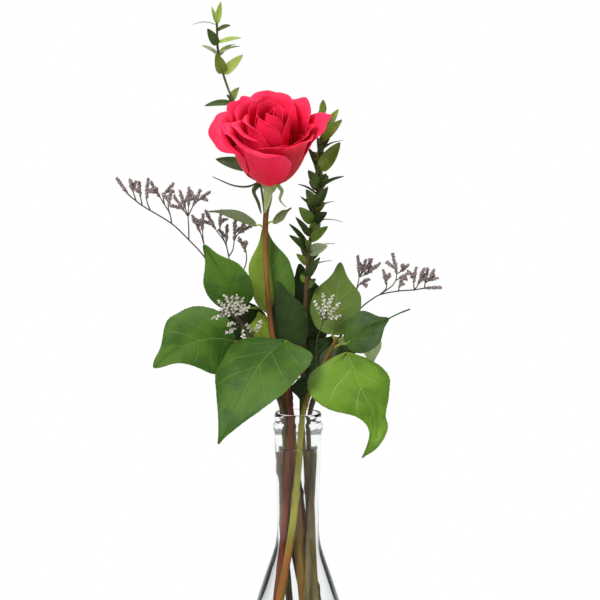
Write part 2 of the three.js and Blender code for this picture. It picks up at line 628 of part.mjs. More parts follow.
const LEFT_SPRIGS = [
  [at(-96.6, -2.8, 345.8), at(-98.2, -3, 351), at(-100.2, -3.4, 358)],
  [at(-93, -2.4, 343), at(-93.8, -4, 348), at(-94.8, -4.6, 356.2)],
  [at(-88.2, -2, 340), at(-90.3, -3, 346.6), at(-89.4, -3, 358)],
  [at(-75.6, 0, 332), at(-76.6, -1, 338), at(-79.8, -1.6, 343.6), at(-82.4, -2, 348), at(-87, -2.4, 356.2)],
  [at(-79.8, -1.6, 343.6), at(-80.4, 0, 349), at(-75, 1, 355)],
  [at(-76.6, -1, 338), at(-77.4, -3, 342), at(-75.6, -3.4, 351.4)],
  [at(-65.4, 2, 322), at(-65.4, 0, 330), at(-65.7, -1, 336.4), at(-65.4, -1, 342), at(-65.1, -1, 352.6)],
  [at(-65.7, -1, 336.4), at(-67.4, -3, 339), at(-73.2, -4, 347.8)],
  [at(-65.7, -1, 336.4), at(-67.4, 1, 341), at(-70.2, 2, 350.2)],
  [at(-65.7, -1, 336.4), at(-62.8, -2, 342.6), at(-58.8, -3, 351.4)],
  [at(-62.8, -2, 342.6), at(-60, 1, 345.4), at(-53.7, 2, 350.2)],
  [at(-55.8, 4, 311), at(-56.6, 5, 319.6), at(-57.3, 6, 327), at(-57, 5, 335.8)],
  [at(-56.6, 5, 319.6), at(-58.6, 6.4, 326), at(-63, 7, 335.2)],
  [at(-32, 2.8, 268), at(-39, 8, 295), at(-41.7, 8, 311.5), at(-43.8, 7.5, 319.6), at(-49.2, 8, 327.4),
    at(-55.2, 8, 338.2)],
  [at(-43.8, 7.5, 319.6), at(-46.8, 6, 328.4), at(-46.2, 6, 338.8)],
  [at(-41.7, 8, 311.5), at(-43.2, 10, 319.6), at(-42.6, 11, 329.2)],
  [at(-41.7, 8, 311.5), at(-39.4, 8, 315), at(-38.4, 8, 321), at(-37.8, 8, 335.2)],
  [at(-38.4, 8, 321), at(-36, 9, 325), at(-28.2, 10, 329.8)],
  [at(-39, 8, 295), at(-32, 9.5, 305), at(-31.2, 9, 313.6), at(-35.4, 8, 322)],
  [at(-24, 0.9, 253), at(-27, -2, 265), at(-34, -12, 273), at(-37, -15, 277), at(-39, -16, 289)],
  [at(-37, -15, 277), at(-41, -15.5, 279), at(-50, -16, 277)],
  [at(-37, -15, 277), at(-41, -16, 281), at(-47, -16, 287)],
  [at(-37, -15, 277), at(-35.6, -15, 281), at(-33, -15, 288)],
  [at(-37, -15, 277), at(-34.4, -14, 279), at(-29.4, -13, 283)],
  [at(-34, -12, 273), at(-36.4, -13, 271), at(-42.5, -14, 268)],
  [at(-34, -12, 273), at(-33.4, -13.5, 270), at(-32, -15, 263.8)],
  [at(-27, -2, 265), at(-26, -7, 267), at(-22, -10, 274)],
  [at(-26, -7, 267), at(-27.4, -9, 268), at(-30, -11, 272)],
];

const RIGHT_SPRIGS = [
  [at(49.2, 10, 288), at(52.8, 9, 291.6), at(53.4, 8.5, 294), at(51.6, 8, 302)],
  [at(49.2, 10, 288), at(54, 9, 291.5), at(57, 8, 294), at(58.8, 8, 297), at(59.4, 8, 301), at(57, 8, 312)],
  [at(58.8, 8, 297), at(60.6, 7, 298), at(65.4, 6, 301)],
  [at(59.4, 8, 301), at(61.6, 9, 302), at(65.4, 10, 305.4)],
  [at(60.6, 9, 290.4), at(60.8, 8, 292), at(62, 7, 296.4)],
  [at(70.2, 8.4, 291.2), at(69.7, 8, 295), at(70.8, 8, 303.6)],
  [at(70.2, 8.4, 291.2), at(72, 7, 294), at(75.6, 6, 303.6)],
  [at(76.2, 8, 292.2), at(76.6, 8, 295.6), at(78, 9, 302.8)],
  [at(76.6, 8, 295.6), at(78.4, 7, 296.8), at(81.2, 7, 302.4)],
  [at(78.4, 7, 296.8), at(79.4, 6, 297), at(82.8, 6, 298.4)],
  [at(23, 12.2, 255), at(29, 18, 272), at(35, 20, 289), at(37, 18, 298), at(36.4, 17.6, 309.8)],
  [at(37, 18, 298), at(38.4, 17, 300.6), at(40.8, 15, 307.8)],
  [at(37, 18, 298), at(39.4, 18, 300.8), at(44.4, 18, 308)],
  [at(37, 18, 298), at(40, 19, 299), at(48.6, 19, 305.4)],
  [at(35, 20, 289), at(37, 19, 293), at(42, 18, 296)],
  [at(12.9, 7.6, 232), at(11, 5, 248), at(11.5, 1, 262), at(15, -3, 274), at(15.4, -4, 289)],
  [at(15, -3, 274), at(13.6, -4, 278), at(10.4, -4, 285)],
  [at(15, -3, 274), at(17, -4, 279), at(20.4, -5, 288.6)],
  [at(15, -3, 274), at(18, -4, 277), at(24.4, -5, 284)],
  [at(15, -3, 274), at(18, -4, 275), at(24.6, -5, 277)],
];
const SPRIG_RADIUS = 0.45;
const BRUSH = 2.2; // the florets' width across a sprig

function brush(run) {
  return blade(run.at(-2), run.at(-1), at(0.1, -1, 0.1), BRUSH, BRUSH);
}

function spray(points, sprigs) {
  const pieces = [limb(points, tapered(SPRAY_RADII), 5), brush(points)];
  for (const sprig of sprigs) {
    pieces.push(limb(sprig, () => SPRIG_RADIUS, 4), brush(sprig));
  }
  return joined(pieces);
}

function makeSprays() {
  add('limonium_left', spray(SPRAYS.limonium_left, LEFT_SPRIGS), floret);
  add('limonium_right', spray(SPRAYS.limonium_right, RIGHT_SPRIGS), floret);
}

makeVase();
makeStems();
makeWater();
makePetals();
makeHip();
makeSepals();
makeLeaves();
makeTwigs();
makeSprays();

export default model;
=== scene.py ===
"""A cut rose in a clear bud vase, with salal leaves, two myrtle twigs and two sprays of sea lavender.

Lengths are in millimetres until a point is placed, and MM turns them into the frame's metres.
"""

import math
import random

import bpy
from mathutils import Matrix, Vector, noise


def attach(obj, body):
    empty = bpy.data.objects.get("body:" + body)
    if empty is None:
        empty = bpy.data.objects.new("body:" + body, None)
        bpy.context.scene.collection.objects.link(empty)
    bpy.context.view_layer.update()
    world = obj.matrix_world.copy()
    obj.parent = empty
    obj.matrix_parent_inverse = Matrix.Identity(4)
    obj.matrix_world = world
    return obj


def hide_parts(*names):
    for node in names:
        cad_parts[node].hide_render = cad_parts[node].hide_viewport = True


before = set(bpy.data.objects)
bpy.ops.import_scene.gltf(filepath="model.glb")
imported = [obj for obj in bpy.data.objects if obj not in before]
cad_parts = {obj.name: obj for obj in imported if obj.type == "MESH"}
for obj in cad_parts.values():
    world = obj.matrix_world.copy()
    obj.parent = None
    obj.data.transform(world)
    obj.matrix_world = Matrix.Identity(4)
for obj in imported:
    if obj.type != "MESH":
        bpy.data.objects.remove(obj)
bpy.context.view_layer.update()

MM = 0.001
UP = Vector((0, 0, 1))
scatter = random.Random(7)


# Paints: a small language for surfaces


def arithmetic(operation):
    def method(value, other=0.0):
        return value.maths(operation, value, other)

    return method


class Value:
    """A number or colour that changes over a surface. Arithmetic with it adds Math nodes."""

    def __init__(self, paint, socket):
        self.paint = paint
        self.socket = socket

    def maths(self, operation, first, second):
        return self.paint.node("ShaderNodeMath", {"operation": operation}, {0: first, 1: second})

    def __rsub__(self, other):
        return self.maths("SUBTRACT", other, self)

    __add__ = __radd__ = arithmetic("ADD")
    __mul__ = __rmul__ = arithmetic("MULTIPLY")
    __sub__ = arithmetic("SUBTRACT")
    __truediv__ = arithmetic("DIVIDE")
    __pow__ = arithmetic("POWER")
    __abs__ = arithmetic("ABSOLUTE")
    larger = arithmetic("MAXIMUM")


class Paint:
    """A material, made by naming what each of its shader's sockets takes. Colours are (red, green, blue)."""

    def __init__(self, name, fixed):
        self.material = bpy.data.materials.new(name)
        self.material.use_nodes = True
        self.tree = self.material.node_tree
        self.shader = self.tree.nodes["Principled BSDF"]
        for socket, value in fixed.items():
            self.feed(socket, value)

    def node(self, kind, settings=None, sockets=None, out=0):
        made = self.tree.nodes.new(kind)
        for name, value in (settings or {}).items():
            if name == "stops":
                self.stops(made.color_ramp, value)
            else:
                setattr(made, name, value)
        for name, value in (sockets or {}).items():
            self.join(made.inputs[name], value)
        return Value(self, made.outputs[out])

    @staticmethod
    def stops(band, stops):
        while len(band.elements) < len(stops):
            band.elements.new(0.5)
        for element, (place, colour) in zip(band.elements, stops):
            element.position = place
            element.color = (*colour, 1.0)

    def join(self, socket, value):
        if isinstance(value, Value):
            self.tree.links.new(value.socket, socket)
        else:
            socket.default_value = (*value, 1.0) if socket.type == "RGBA" else value

    def feed(self, socket, value):
        self.join(self.shader.inputs[socket], value)

    def blend_with(self, other, share):
        """Shows another shader in place of the material's own, by a share."""
        own = Value(self, self.shader.outputs[0])
        blend = self.node("ShaderNodeMixShader", {}, {0: share, 1: own, 2: other})
        self.join(self.tree.nodes["Material Output"].inputs["Surface"], blend)

    def place(self, scale=(1, 1, 1)):
        spot = self.node("ShaderNodeTexCoord", out="Object")
        return self.node("ShaderNodeMapping", {}, {"Vector": spot, "Scale": scale})

    def across_along(self, scale=(1, 1, 1)):
        spot = self.node("ShaderNodeUVMap", {"uv_map": "UVMap"})
        return self.node("ShaderNodeMapping", {}, {"Vector": spot, "Scale": scale})

    def axes(self, vector):
        split = self.node("ShaderNodeSeparateXYZ", {}, {"Vector": vector}).socket.node
        return [Value(self, output) for output in split.outputs]

    def attribute(self, name):
        return self.node("ShaderNodeAttribute", {"attribute_name": name}, out="Fac")

    def grain(self, vector, scale, detail=3.0, roughness=0.5):
        sockets = {"Vector": vector, "Scale": scale, "Detail": detail, "Roughness": roughness}
        return self.node("ShaderNodeTexNoise", {}, sockets, "Fac")

    def cloud(self, scale, detail=3.0):
        return self.grain(self.place(), scale, detail)

    def between(self, value, low, high):
        """0 below low, 1 above high, and smooth between them."""
        sockets = {"Value": value, "From Min": low, "From Max": high}
        return self.node("ShaderNodeMapRange", {"interpolation_type": "SMOOTHSTEP"}, sockets)

    def ramp(self, value, stops):
        return self.node("ShaderNodeValToRGB", {"stops": stops}, {"Fac": value}, "Color")

    def mix(self, first, second, share):
        made = self.node("ShaderNodeMix", {"data_type": "RGBA"}, {"Factor": share}).socket.node
        for name, colour in (("A", first), ("B", second)):
            self.join(next(s for s in made.inputs if s.name == name and s.type == "RGBA"), colour)
        return Value(self, next(s for s in made.outputs if s.type == "RGBA"))

    def bump(self, height, depth, strength=1.0):
        sockets = {"Height": height, "Distance": depth, "Strength": strength}
        self.feed("Normal", self.node("ShaderNodeBump", {}, sockets, "Normal"))


# Shapes


def smooth(low, high, value):
    share = min(max((value - low) / (high - low), 0.0), 1.0)
    return share * share * (3 - 2 * share)


def lerp(low, high, share):
    return low + (high - low) * share


def points(*triples):
    return [Vector(triple) for triple in triples]


def alone(piece):
    bpy.ops.object.select_all(action="DESELECT")
    piece.select_set(True)
    bpy.context.view_layer.objects.active = piece


def edit(piece, *steps):
    """Runs edit-mode operators on the whole piece."""
    alone(piece)
    bpy.ops.object.mode_set(mode="EDIT")
    bpy.ops.mesh.select_all(action="SELECT")
    for step in steps:
        step()
    bpy.ops.object.mode_set(mode="OBJECT")


def close_seams(piece):
    edit(
        piece,
        lambda: bpy.ops.mesh.remove_doubles(threshold=1e-6),
        lambda: bpy.ops.mesh.normals_make_consistent(inside=False),
    )


def sheet(name, columns, rows, surface):
    """A grid shaped by surface(across, along): across goes from -1 to 1 and along from 0 to 1."""
    bpy.ops.object.select_all(action="DESELECT")
    bpy.ops.mesh.primitive_grid_add(x_subdivisions=columns, y_subdivisions=rows, size=2)
    piece = bpy.context.object
    piece.name = name
    piece.data.name = name
    for vertex in piece.data.vertices:
        across, along, _ = vertex.co
        vertex.co = surface(across, (along + 1) / 2) * MM
    return piece


def thicken(piece, thickness):
    """Gives a sheet its two faces, and marks the one that looks away from its normal as the underside."""
    alone(piece)
    upper = len(piece.data.vertices)
    wall = piece.modifiers.new("Thickness", "SOLIDIFY")
    wall.thickness = thickness * MM
    wall.offset = 0
    bpy.ops.object.modifier_apply(modifier=wall.name)
    mark = piece.data.attributes.new("underside", "FLOAT", "POINT")
    for i, vertex in enumerate(mark.data):
        vertex.value = float(i >= upper)
    bpy.ops.object.shade_smooth_by_angle(angle=math.radians(60))
    return piece


def round_off(piece):
    alone(piece)
    bpy.ops.object.shade_smooth_by_angle(angle=math.radians(50))
    return piece


def curve(line, share):
    """A point on the smooth curve through the line's points, at a share of its length in points."""
    place = min(max(share, 0.0), 1.0) * (len(line) - 1)
    i = min(int(place), len(line) - 2)
    t = place - i
    here, onward = line[i], line[i + 1]
    before = line[i - 1] if i else here * 2 - onward
    after = line[i + 2] if i + 2 < len(line) else onward * 2 - here
    first, middle, last = (
        max((b - a).length ** 0.5, 1e-4) for a, b in ((before, here), (here, onward), (onward, after))
    )
    start = (here - before) / first - (onward - before) / (first + middle) + (onward - here) / middle
    end = (onward - here) / middle - (after - here) / (middle + last) + (after - onward) / last
    start, end = start * middle, end * middle
    bend = (here - onward) * 2 + start + end
    swing = (onward - here) * 3 - start * 2 - end
    return here + start * t + swing * t**2 + bend * t**3


def stations(line, steps):
    """The centre, direction and two sides of a line at each step."""
    made, side = [], None
    step = 0.5 / steps
    for i in range(steps + 1):
        centre = curve(line, i / steps)
        onward = (curve(line, i / steps + step) - curve(line, i / steps - step)).normalized()
        if side is None:
            side = Vector((1, 0, 0)) if abs(onward.x) < 0.8 else Vector((0, 1, 0))
        side = (side - side.project(onward)).normalized()
        made.append((centre, onward, side, onward.cross(side)))
    return made


def tube(name, line, radius_at, sides, steps):
    """A closed round limb. radius_at takes a share of the length and an angle."""
    made = stations(line, steps)
    rows = steps + 2

    def skin(across, along):
        row = round(along * rows)
        centre, _, side, other = made[min(max(row - 1, 0), steps)]
        if row in (0, rows):
            return centre
        turn = across * math.pi
        radius = radius_at((row - 1) / steps, turn)
        return centre + (side * math.cos(turn) + other * math.sin(turn)) * radius

    piece = sheet(name, sides, rows, skin)
    close_seams(piece)
    return round_off(piece)


def tapered(first, last):
    return lambda along, turn: lerp(first, last, along)


def copied(master, basis, place, size):
    """A copy of a small shape with its own mesh, stood at place with its X, Y and Z along basis."""
    copy = master.copy()
    copy.data = master.data.copy()
    bpy.context.scene.collection.objects.link(copy)
    side, onward, normal = (axis * size for axis in basis)
    turn = Matrix((side, onward, normal)).transposed().to_4x4()
    copy.data.transform(Matrix.Translation(place * MM) @ turn)
    return copy


def joined(name, parts):
    bpy.ops.object.select_all(action="DESELECT")
    for part in parts:
        part.select_set(True)
    bpy.context.view_layer.objects.active = parts[0]
    bpy.ops.object.join()
    piece = bpy.context.object
    piece.name = name
    piece.data.name = name
    return piece


def painted(piece, paint):
    piece.data.materials.clear()
    piece.data.materials.append(paint.material)
    return piece


def finished(piece, slot, *nodes):
    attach(piece, "root")
    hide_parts(*nodes)


# Finishes

DRY_RIM = (0.12, 0.08, 0.02)
# Side veins of a leaf: how many pairs it has, and how far along they run on their way out to its edge.
VEIN_PAIRS = 5.5
VEIN_SWEEP = 0.28
# Heights in metres between which a stem changes colour: out of the bulb, and out of the neck.
BULB_TO_NECK = (0.125, 0.155)
NECK_TO_AIR = (0.2, 0.235)


def fleshy(name, weight, radius, scale, specular=0.5):
    """A material that light sinks into a little way, deepest in the colour with the largest radius."""
    return Paint(name, {
        "Subsurface Weight": weight,
        "Subsurface Radius": radius,
        "Subsurface Scale": scale,
        "Specular IOR Level": specular,
    })


def petal_paint(name, claw, body, blush, rim, shade):
    """Velvety petal: pale at the claw, deep in the body and brighter towards the rim, with faint veins."""
    paint = fleshy(name, 0.25, (1.0, 0.08, 0.12), 0.0015, specular=0.16)
    _, along, _ = paint.axes(paint.across_along())
    veins = paint.grain(paint.across_along((34, 2.2, 1)), 1.0, 2.0)
    cloud = paint.cloud(70.0, 2.0)
    skin = paint.ramp(along, [(0.0, claw), (0.2, body), (0.7, blush), (1.0, rim)])
    flushed = paint.mix(skin, shade, paint.between(veins * 0.3 + cloud * 0.7, 0.42, 0.68) * 0.5)
    paint.feed("Base Color", flushed)
    paint.feed("Roughness", 0.48 + veins * 0.2)
    paint.bump(veins * 0.15 + cloud * 1.6, 0.0004, 0.6)
    return paint


def leaf_paint(name, deep, bright, vein, under, gloss=0.46, pairs=VEIN_PAIRS, near=None):
    """Leathery leaf: a pale midrib, arching side veins, a fine net between them and a paler underside.
    near is the colour of the half that lies to one side of the midrib, if it is not the other's: painted
    light, that half shown lighter as if the light falls on it."""
    paint = fleshy(name, 0.1, (0.35, 1.0, 0.1), 0.0012, specular=0.22)
    u, along, _ = paint.axes(paint.across_along())
    across = abs(u * 2 - 1)
    phase = (along - across * VEIN_SWEEP) * pairs
    turn = paint.node("ShaderNodeMath", {"operation": "FRACT"}, {0: phase + 10})
    side_vein = 1 - paint.between(abs(turn - 0.5), 0.008, 0.06)
    side_vein = side_vein * (1 - paint.between(across, 0.6, 0.96))
    midrib = 1 - paint.between(across, 0.012, 0.045)
    vein_mask = (side_vein * 0.5).larger(midrib)
    net_cells = {"Vector": paint.place(), "Scale": 480.0}
    net = paint.node("ShaderNodeTexVoronoi", {"feature": "DISTANCE_TO_EDGE"}, net_cells, "Distance")
    net_line = 1 - paint.between(net, 0.0, 0.2)
    cloud = paint.cloud(48.0, 3.0)
    speckle = paint.cloud(900.0, 2.0)
    body = paint.mix(deep, bright, paint.between(cloud, 0.38, 0.62))
    if near:
        # Painted light: the half of the blade on one side of the midrib takes the near colour, as if lit
        # more than the other half.
        body = paint.mix(body, near, (1 - paint.between(u, 0.47, 0.51)) * (0.7 + cloud * 0.3))
    body = paint.mix(body, deep, paint.between(speckle, 0.45, 0.7) * 0.25)
    body = paint.mix(body, vein, net_line * 0.08)
    body = paint.mix(body, vein, vein_mask * 0.7)
    rim = paint.between(across, 0.955, 0.995) * paint.between(paint.cloud(160.0), 0.42, 0.6)
    body = paint.mix(body, DRY_RIM, rim * 0.7)
    below = paint.attribute("underside")
    paint.feed("Base Color", paint.mix(body, paint.mix(under, vein, vein_mask), below))
    paint.feed("Roughness", gloss + below * 0.2 + cloud * 0.12)
    puckers = paint.cloud(130.0, 2.0)
    relief = vein_mask * -0.7 + net_line * -0.06 + cloud * 0.9 + puckers * 0.8 + speckle * 0.06
    paint.bump(relief, 0.0006, 0.8)
    return paint


def bark_paint(name, low, middle, high, rings=0.35, roughness=0.55, foot=None, above=None):
    """Stem bark: three colours in long streaks, fine ridges and small pores. foot is its colour in the
    vase's bulb and above its colour over the lip, if they are not the neck's."""
    paint = Paint(name, {"Specular IOR Level": 0.18})
    streak = paint.grain(paint.place((1, 1, 0.06)), 420.0, 4.0, 0.6)
    patch = paint.grain(paint.place((1, 1, 0.5)), 60.0, 2.0)
    body = paint.ramp(streak * 0.45 + patch * 0.55, [(0.34, low), (0.5, middle), (0.68, high)])
    height = paint.axes(paint.place())[2]
    if foot:
        in_bulb = paint.ramp(streak, [(0.35, low), (0.65, foot)])
        body = paint.mix(in_bulb, body, paint.between(height, *BULB_TO_NECK))
    if above:
        in_air = paint.ramp(streak, [(0.35, low), (0.65, above)])
        body = paint.mix(body, in_air, paint.between(height, *NECK_TO_AIR))
    pore_cells = {"Vector": paint.place((1, 1, 0.5)), "Scale": 700.0}
    pores = paint.node("ShaderNodeTexVoronoi", {}, pore_cells, "Distance")
    speck = 1 - paint.between(pores, 0.1, 0.25)
    paint.feed("Base Color", paint.mix(body, low, speck * rings))
    paint.feed("Roughness", roughness + streak * 0.2)
    paint.bump(streak + speck * 0.6, 0.0002, 0.7)
    return paint


def floret_paint(name, foot, body, throat, mouth):
    """Papery florets: a dark foot and a paler mouth, with fine pleats."""
    paint = fleshy(name, 0.15, (1.0, 0.8, 0.8), 0.0006)
    _, along, _ = paint.axes(paint.across_along())
    cloud = paint.cloud(300.0)
    shade = paint.ramp(along, [(0.0, foot), (0.35, body), (0.7, throat), (1.0, mouth)])
    paint.feed("Base Color", paint.mix(shade, body, paint.between(cloud, 0.45, 0.7) * 0.6))
    paint.feed("Roughness", 0.7 + cloud * 0.2)
    pleats = paint.grain(paint.across_along((40, 1, 1)), 1.0)
    paint.bump(pleats, 0.0001, 0.6)
    return paint


def clear_paint(name, tint, ior, ripple):
    """Clear glass or water, which lets lamps through to what stands in it."""
    paint = Paint(name, {
        "Base Color": tint,
        "Transmission Weight": 1.0,
        "Specular Tint": (0.3, 0.3, 0.3),
        "IOR": ior,
        "Roughness": 0.0,
    })
    if ripple:
        swell = paint.grain(paint.place((1, 1, 0.35)), 46.0, 1.5)
        paint.bump(swell, ripple, 1.0)
    path = paint.node("ShaderNodeLightPath").socket.node
    shadow = Value(paint, path.outputs["Is Shadow Ray"])
    diffuse = Value(paint, path.outputs["Is Diffuse Ray"])
    see_through = paint.node("ShaderNodeBsdfTransparent", {}, {"Color": (0.97, 0.98, 0.98)})
    paint.blend_with(see_through, shadow.larger(diffuse))
    return paint


def paints(maker, family, rows, **more):
    """Paints that share a maker and the first part of their names, in the order of their rows."""
    return [maker(family + name, *colours, **more) for name, *colours in rows]


GLASS = clear_paint("vase_glass", (0.97, 0.985, 0.985), 1.47, 0.0006)
WATER = clear_paint("vase_water", (0.97, 0.98, 0.965), 1.333, 0)
PETAL = petal_paint(
    "rose_petal", (0.75, 0.2, 0.1), (0.66, 0.005, 0.026), (0.82, 0.011, 0.058), (0.93, 0.028, 0.105),
    (0.58, 0.002, 0.026),
)
# A darker copy of the petal paint: painted shade, for the petals on the bloom's right side, which lie away
# from the light.
PETAL_SHADED = petal_paint(
    "rose_petal_deep", (0.6, 0.1, 0.06), (0.44, 0.001, 0.01), (0.5, 0.001, 0.014), (0.78, 0.012, 0.05),
    (0.34, 0.0, 0.008),
)
SALAL_DEEP, SALAL_BRIGHT, SALAL_SHADOWED, SALAL_SHADE, SALAL_LIT = paints(leaf_paint, "salal_leaf_", (
    ("deep", (0.026, 0.08, 0.004), (0.062, 0.145, 0.008), (0.15, 0.26, 0.045), (0.14, 0.24, 0.06)),
    ("bright", (0.078, 0.172, 0.006), (0.135, 0.262, 0.014), (0.24, 0.38, 0.06), (0.2, 0.32, 0.09)),
    # Painted shade: a darker copy of the salal paint, for the rolled leaf where it lies in shadow.
    ("dark", (0.018, 0.055, 0.003), (0.042, 0.1, 0.007), (0.16, 0.24, 0.08), (0.12, 0.2, 0.05)),
    # Painted shade: a near-black copy of the salal paint, for the leaves deep inside the bunch where shadow
    # falls.
    ("shade", (0.006, 0.018, 0.002), (0.022, 0.05, 0.006), (0.06, 0.1, 0.02), (0.05, 0.08, 0.02)),
    # The tucked leaf's own yellow-green, with light painted in: it is made brighter where the light falls on
    # it.
    ("fresh", (0.18, 0.27, 0.02), (0.28, 0.38, 0.03), (0.36, 0.46, 0.1), (0.26, 0.36, 0.09)),
))
# The upright leaf's paint has light painted on one half of its blade.
SALAL_UPRIGHT = leaf_paint(
    "salal_leaf_upright", (0.045, 0.108, 0.008), (0.07, 0.155, 0.013), (0.2, 0.3, 0.08),
    (0.14, 0.24, 0.06), near=(0.21, 0.31, 0.025),
)
SALAL_SAGE, SALAL_PALE = paints(leaf_paint, "salal_leaf_", (
    ("sage", (0.08, 0.15, 0.025), (0.11, 0.19, 0.035), (0.2, 0.28, 0.09), (0.1, 0.16, 0.027)),
    ("pale", (0.32, 0.42, 0.15), (0.42, 0.5, 0.22), (0.55, 0.62, 0.36), (0.48, 0.56, 0.28)),
), gloss=0.5)
ROSE_LEAF = leaf_paint(
    "rose_leaf_green", (0.09, 0.13, 0.05), (0.15, 0.19, 0.07), (0.24, 0.3, 0.14), (0.14, 0.18, 0.09),
    gloss=0.5, pairs=9,
)
SEPAL, SEPAL_DARK = paints(leaf_paint, "rose_sepal_", (
    ("green", (0.12, 0.22, 0.05), (0.22, 0.33, 0.1), (0.34, 0.44, 0.18), (0.34, 0.42, 0.18)),
    ("dark", (0.02, 0.05, 0.012), (0.05, 0.1, 0.025), (0.1, 0.16, 0.06), (0.05, 0.08, 0.03)),
), gloss=0.5, pairs=2)
BRIGHT, GREEN, DARK = paints(leaf_paint, "myrtle_leaf_", (
    ("bright", (0.26, 0.36, 0.06), (0.38, 0.48, 0.11), (0.5, 0.6, 0.2), (0.34, 0.42, 0.14)),
    ("green", (0.09, 0.15, 0.015), (0.2, 0.27, 0.03), (0.28, 0.36, 0.1), (0.2, 0.27, 0.08)),
    ("dark", (0.022, 0.04, 0.006), (0.06, 0.1, 0.014), (0.14, 0.2, 0.07), (0.1, 0.14, 0.05)),
), gloss=0.4, pairs=8)
GREY = leaf_paint(
    "myrtle_leaf_grey", (0.16, 0.2, 0.1), (0.28, 0.34, 0.18), (0.34, 0.4, 0.24), (0.3, 0.34, 0.22),
    gloss=0.5, pairs=8,
)
ROSE_BARK = bark_paint("rose_bark", (0.06, 0.02, 0.006), (0.2, 0.085, 0.018), (0.27, 0.21, 0.04))
HIP = bark_paint("rose_hip_green", (0.2, 0.3, 0.08), (0.34, 0.42, 0.15), (0.46, 0.5, 0.2), 0.1)
SALAL_BARK = bark_paint("salal_bark", (0.04, 0.008, 0.005), (0.13, 0.028, 0.014), (0.22, 0.07, 0.03))
SALAL_RED_BARK = bark_paint(
    "salal_red_bark", (0.05, 0.008, 0.005), (0.16, 0.03, 0.014), (0.26, 0.08, 0.035),
    above=(0.1, 0.045, 0.02),
)
SALAL_GREEN_BARK = bark_paint(
    "salal_green_bark", (0.14, 0.12, 0.012), (0.32, 0.31, 0.035), (0.46, 0.42, 0.1),
    foot=(0.38, 0.1, 0.018), above=(0.12, 0.045, 0.02),
)
STALK = bark_paint("salal_stalk", (0.12, 0.1, 0.02), (0.22, 0.24, 0.05), (0.3, 0.32, 0.08))
MYRTLE_BARK = bark_paint(
    "myrtle_bark", (0.07, 0.045, 0.012), (0.2, 0.15, 0.035), (0.34, 0.29, 0.09), above=(0.1, 0.05, 0.022)
)
MYRTLE_GREEN_BARK = bark_paint(
    "myrtle_green_bark", (0.045, 0.01, 0.006), (0.13, 0.032, 0.014), (0.2, 0.075, 0.03),
    above=(0.16, 0.17, 0.08),
)
WIRE = bark_paint(
    "limonium_stem", (0.04, 0.028, 0.012), (0.14, 0.1, 0.035), (0.26, 0.21, 0.08),
    above=(0.1, 0.09, 0.065),
)
DRIED = floret_paint(
    "limonium_dried", (0.05, 0.045, 0.02), (0.11, 0.09, 0.055), (0.2, 0.145, 0.145), (0.46, 0.38, 0.38)
)
FRESH = floret_paint(
    "limonium_fresh", (0.07, 0.08, 0.03), (0.34, 0.3, 0.22), (0.74, 0.7, 0.6), (0.9, 0.88, 0.8)
)


# Vase and water

# The glass, by radius and height: up its outside from the foot, and down its inside to the floor.
OUTSIDE = [
    (28, 0), (29.6, 0.5), (30.4, 2.4), (33.6, 20), (35, 46), (32, 72), (28, 92), (24, 106), (20.1, 118),
    (15.9, 130), (13.4, 139), (12.6, 150), (12.9, 167), (13.5, 184), (14.2, 204), (14.5, 206.6), (15.1, 208),
    (15.1, 210.5), (14.3, 211.9), (13.9, 212.6), (14.2, 215.4), (14.0, 217.2),
]
INSIDE = [
    (12.8, 217.4), (12.2, 215), (12.2, 200), (11.9, 192), (11.5, 184), (10.9, 167), (10.6, 150), (11.4, 139),
    (13.9, 129), (18.1, 117), (22, 105), (26, 91), (30, 71), (33, 46), (31.6, 21), (29.5, 9), (27.5, 6),
    (25, 4),
]
FLOOR_HEIGHT = 4
WATER_HEIGHT = 196


def upright(profile):
    return [Vector((radius, 0, height)) for radius, height in profile]


def rounded(profile, fine=3):
    """Splits each step of a profile into fine ones along a smooth curve."""
    line = upright(profile)
    count = (len(line) - 1) * fine
    return [curve(line, i / count) for i in range(count + 1)]


def spun(name, line, steps):
    """A profile turned about Z."""
    rows = len(line) - 1

    def skin(across, along):
        turn = across * math.pi
        place = line[round(along * rows)]
        return Vector((place.x * math.cos(turn), place.x * math.sin(turn), place.z))

    piece = sheet(name, steps, rows, skin)
    close_seams(piece)
    return round_off(piece)


def make_vase():
    foot, floor = upright([(0, 0)]), upright([(0, FLOOR_HEIGHT)])
    lip = upright([(13.5, 218), (13.1, 217.95)])
    vase = spun("vase", foot + rounded(OUTSIDE) + lip + rounded(INSIDE) + floor, 96)
    finished(painted(vase, GLASS), "glass", "vase")


def make_water():
    """The water reaches a little into the glass, so that no gap shows, and climbs it at the top."""
    overlap = 0.12
    wetted = [(radius + overlap, height) for radius, height in reversed(INSIDE) if height < WATER_HEIGHT]
    wetted[0] = (wetted[0][0], wetted[0][1] - overlap)
    climb = [(12.02, 0.9), (11.6, 0.25), (10.4, 0), (0, 0)]
    top = upright([(radius, WATER_HEIGHT + rise) for radius, rise in climb])
    water = spun("water", upright([(0, FLOOR_HEIGHT - overlap)]) + rounded(wetted) + top, 72)
    finished(painted(water, WATER), "water", "water")


# Stems

HEAD = Vector((-16.8, -9, 359.5))
HEAD_AXIS = Vector((0.02, -0.5, 0.866)).normalized()
HEAD_RIGHT = (Vector((1, 0, 0)) - Vector((1, 0, 0)).project(HEAD_AXIS)).normalized()
HEAD_BACK = HEAD_AXIS.cross(HEAD_RIGHT)
HIP_DEPTH = 9.6


def through_neck(lip_angle):
    """The lower part of a stem, which stands in the neck with the others, all turned the same way."""
    # At the neck the stems stand in a ring of this radius, and lean by these amounts below and above it.
    ring, below, above, neck, lip = 6.5, 0.135, 0.095, 150, 218
    bunch_shift = 0.4
    lip_turn = math.atan(above * (lip - neck) / ring)
    line = []
    for height in (4.65, 55, 105, neck, 186, lip):
        run = (below if height < neck else above) * (height - neck)
        angle = math.radians(lip_angle) + math.atan(run / ring) - lip_turn
        radius = math.hypot(ring, run)
        line.append(Vector((radius * math.cos(angle) - bunch_shift, radius * math.sin(angle), height)))
    return line


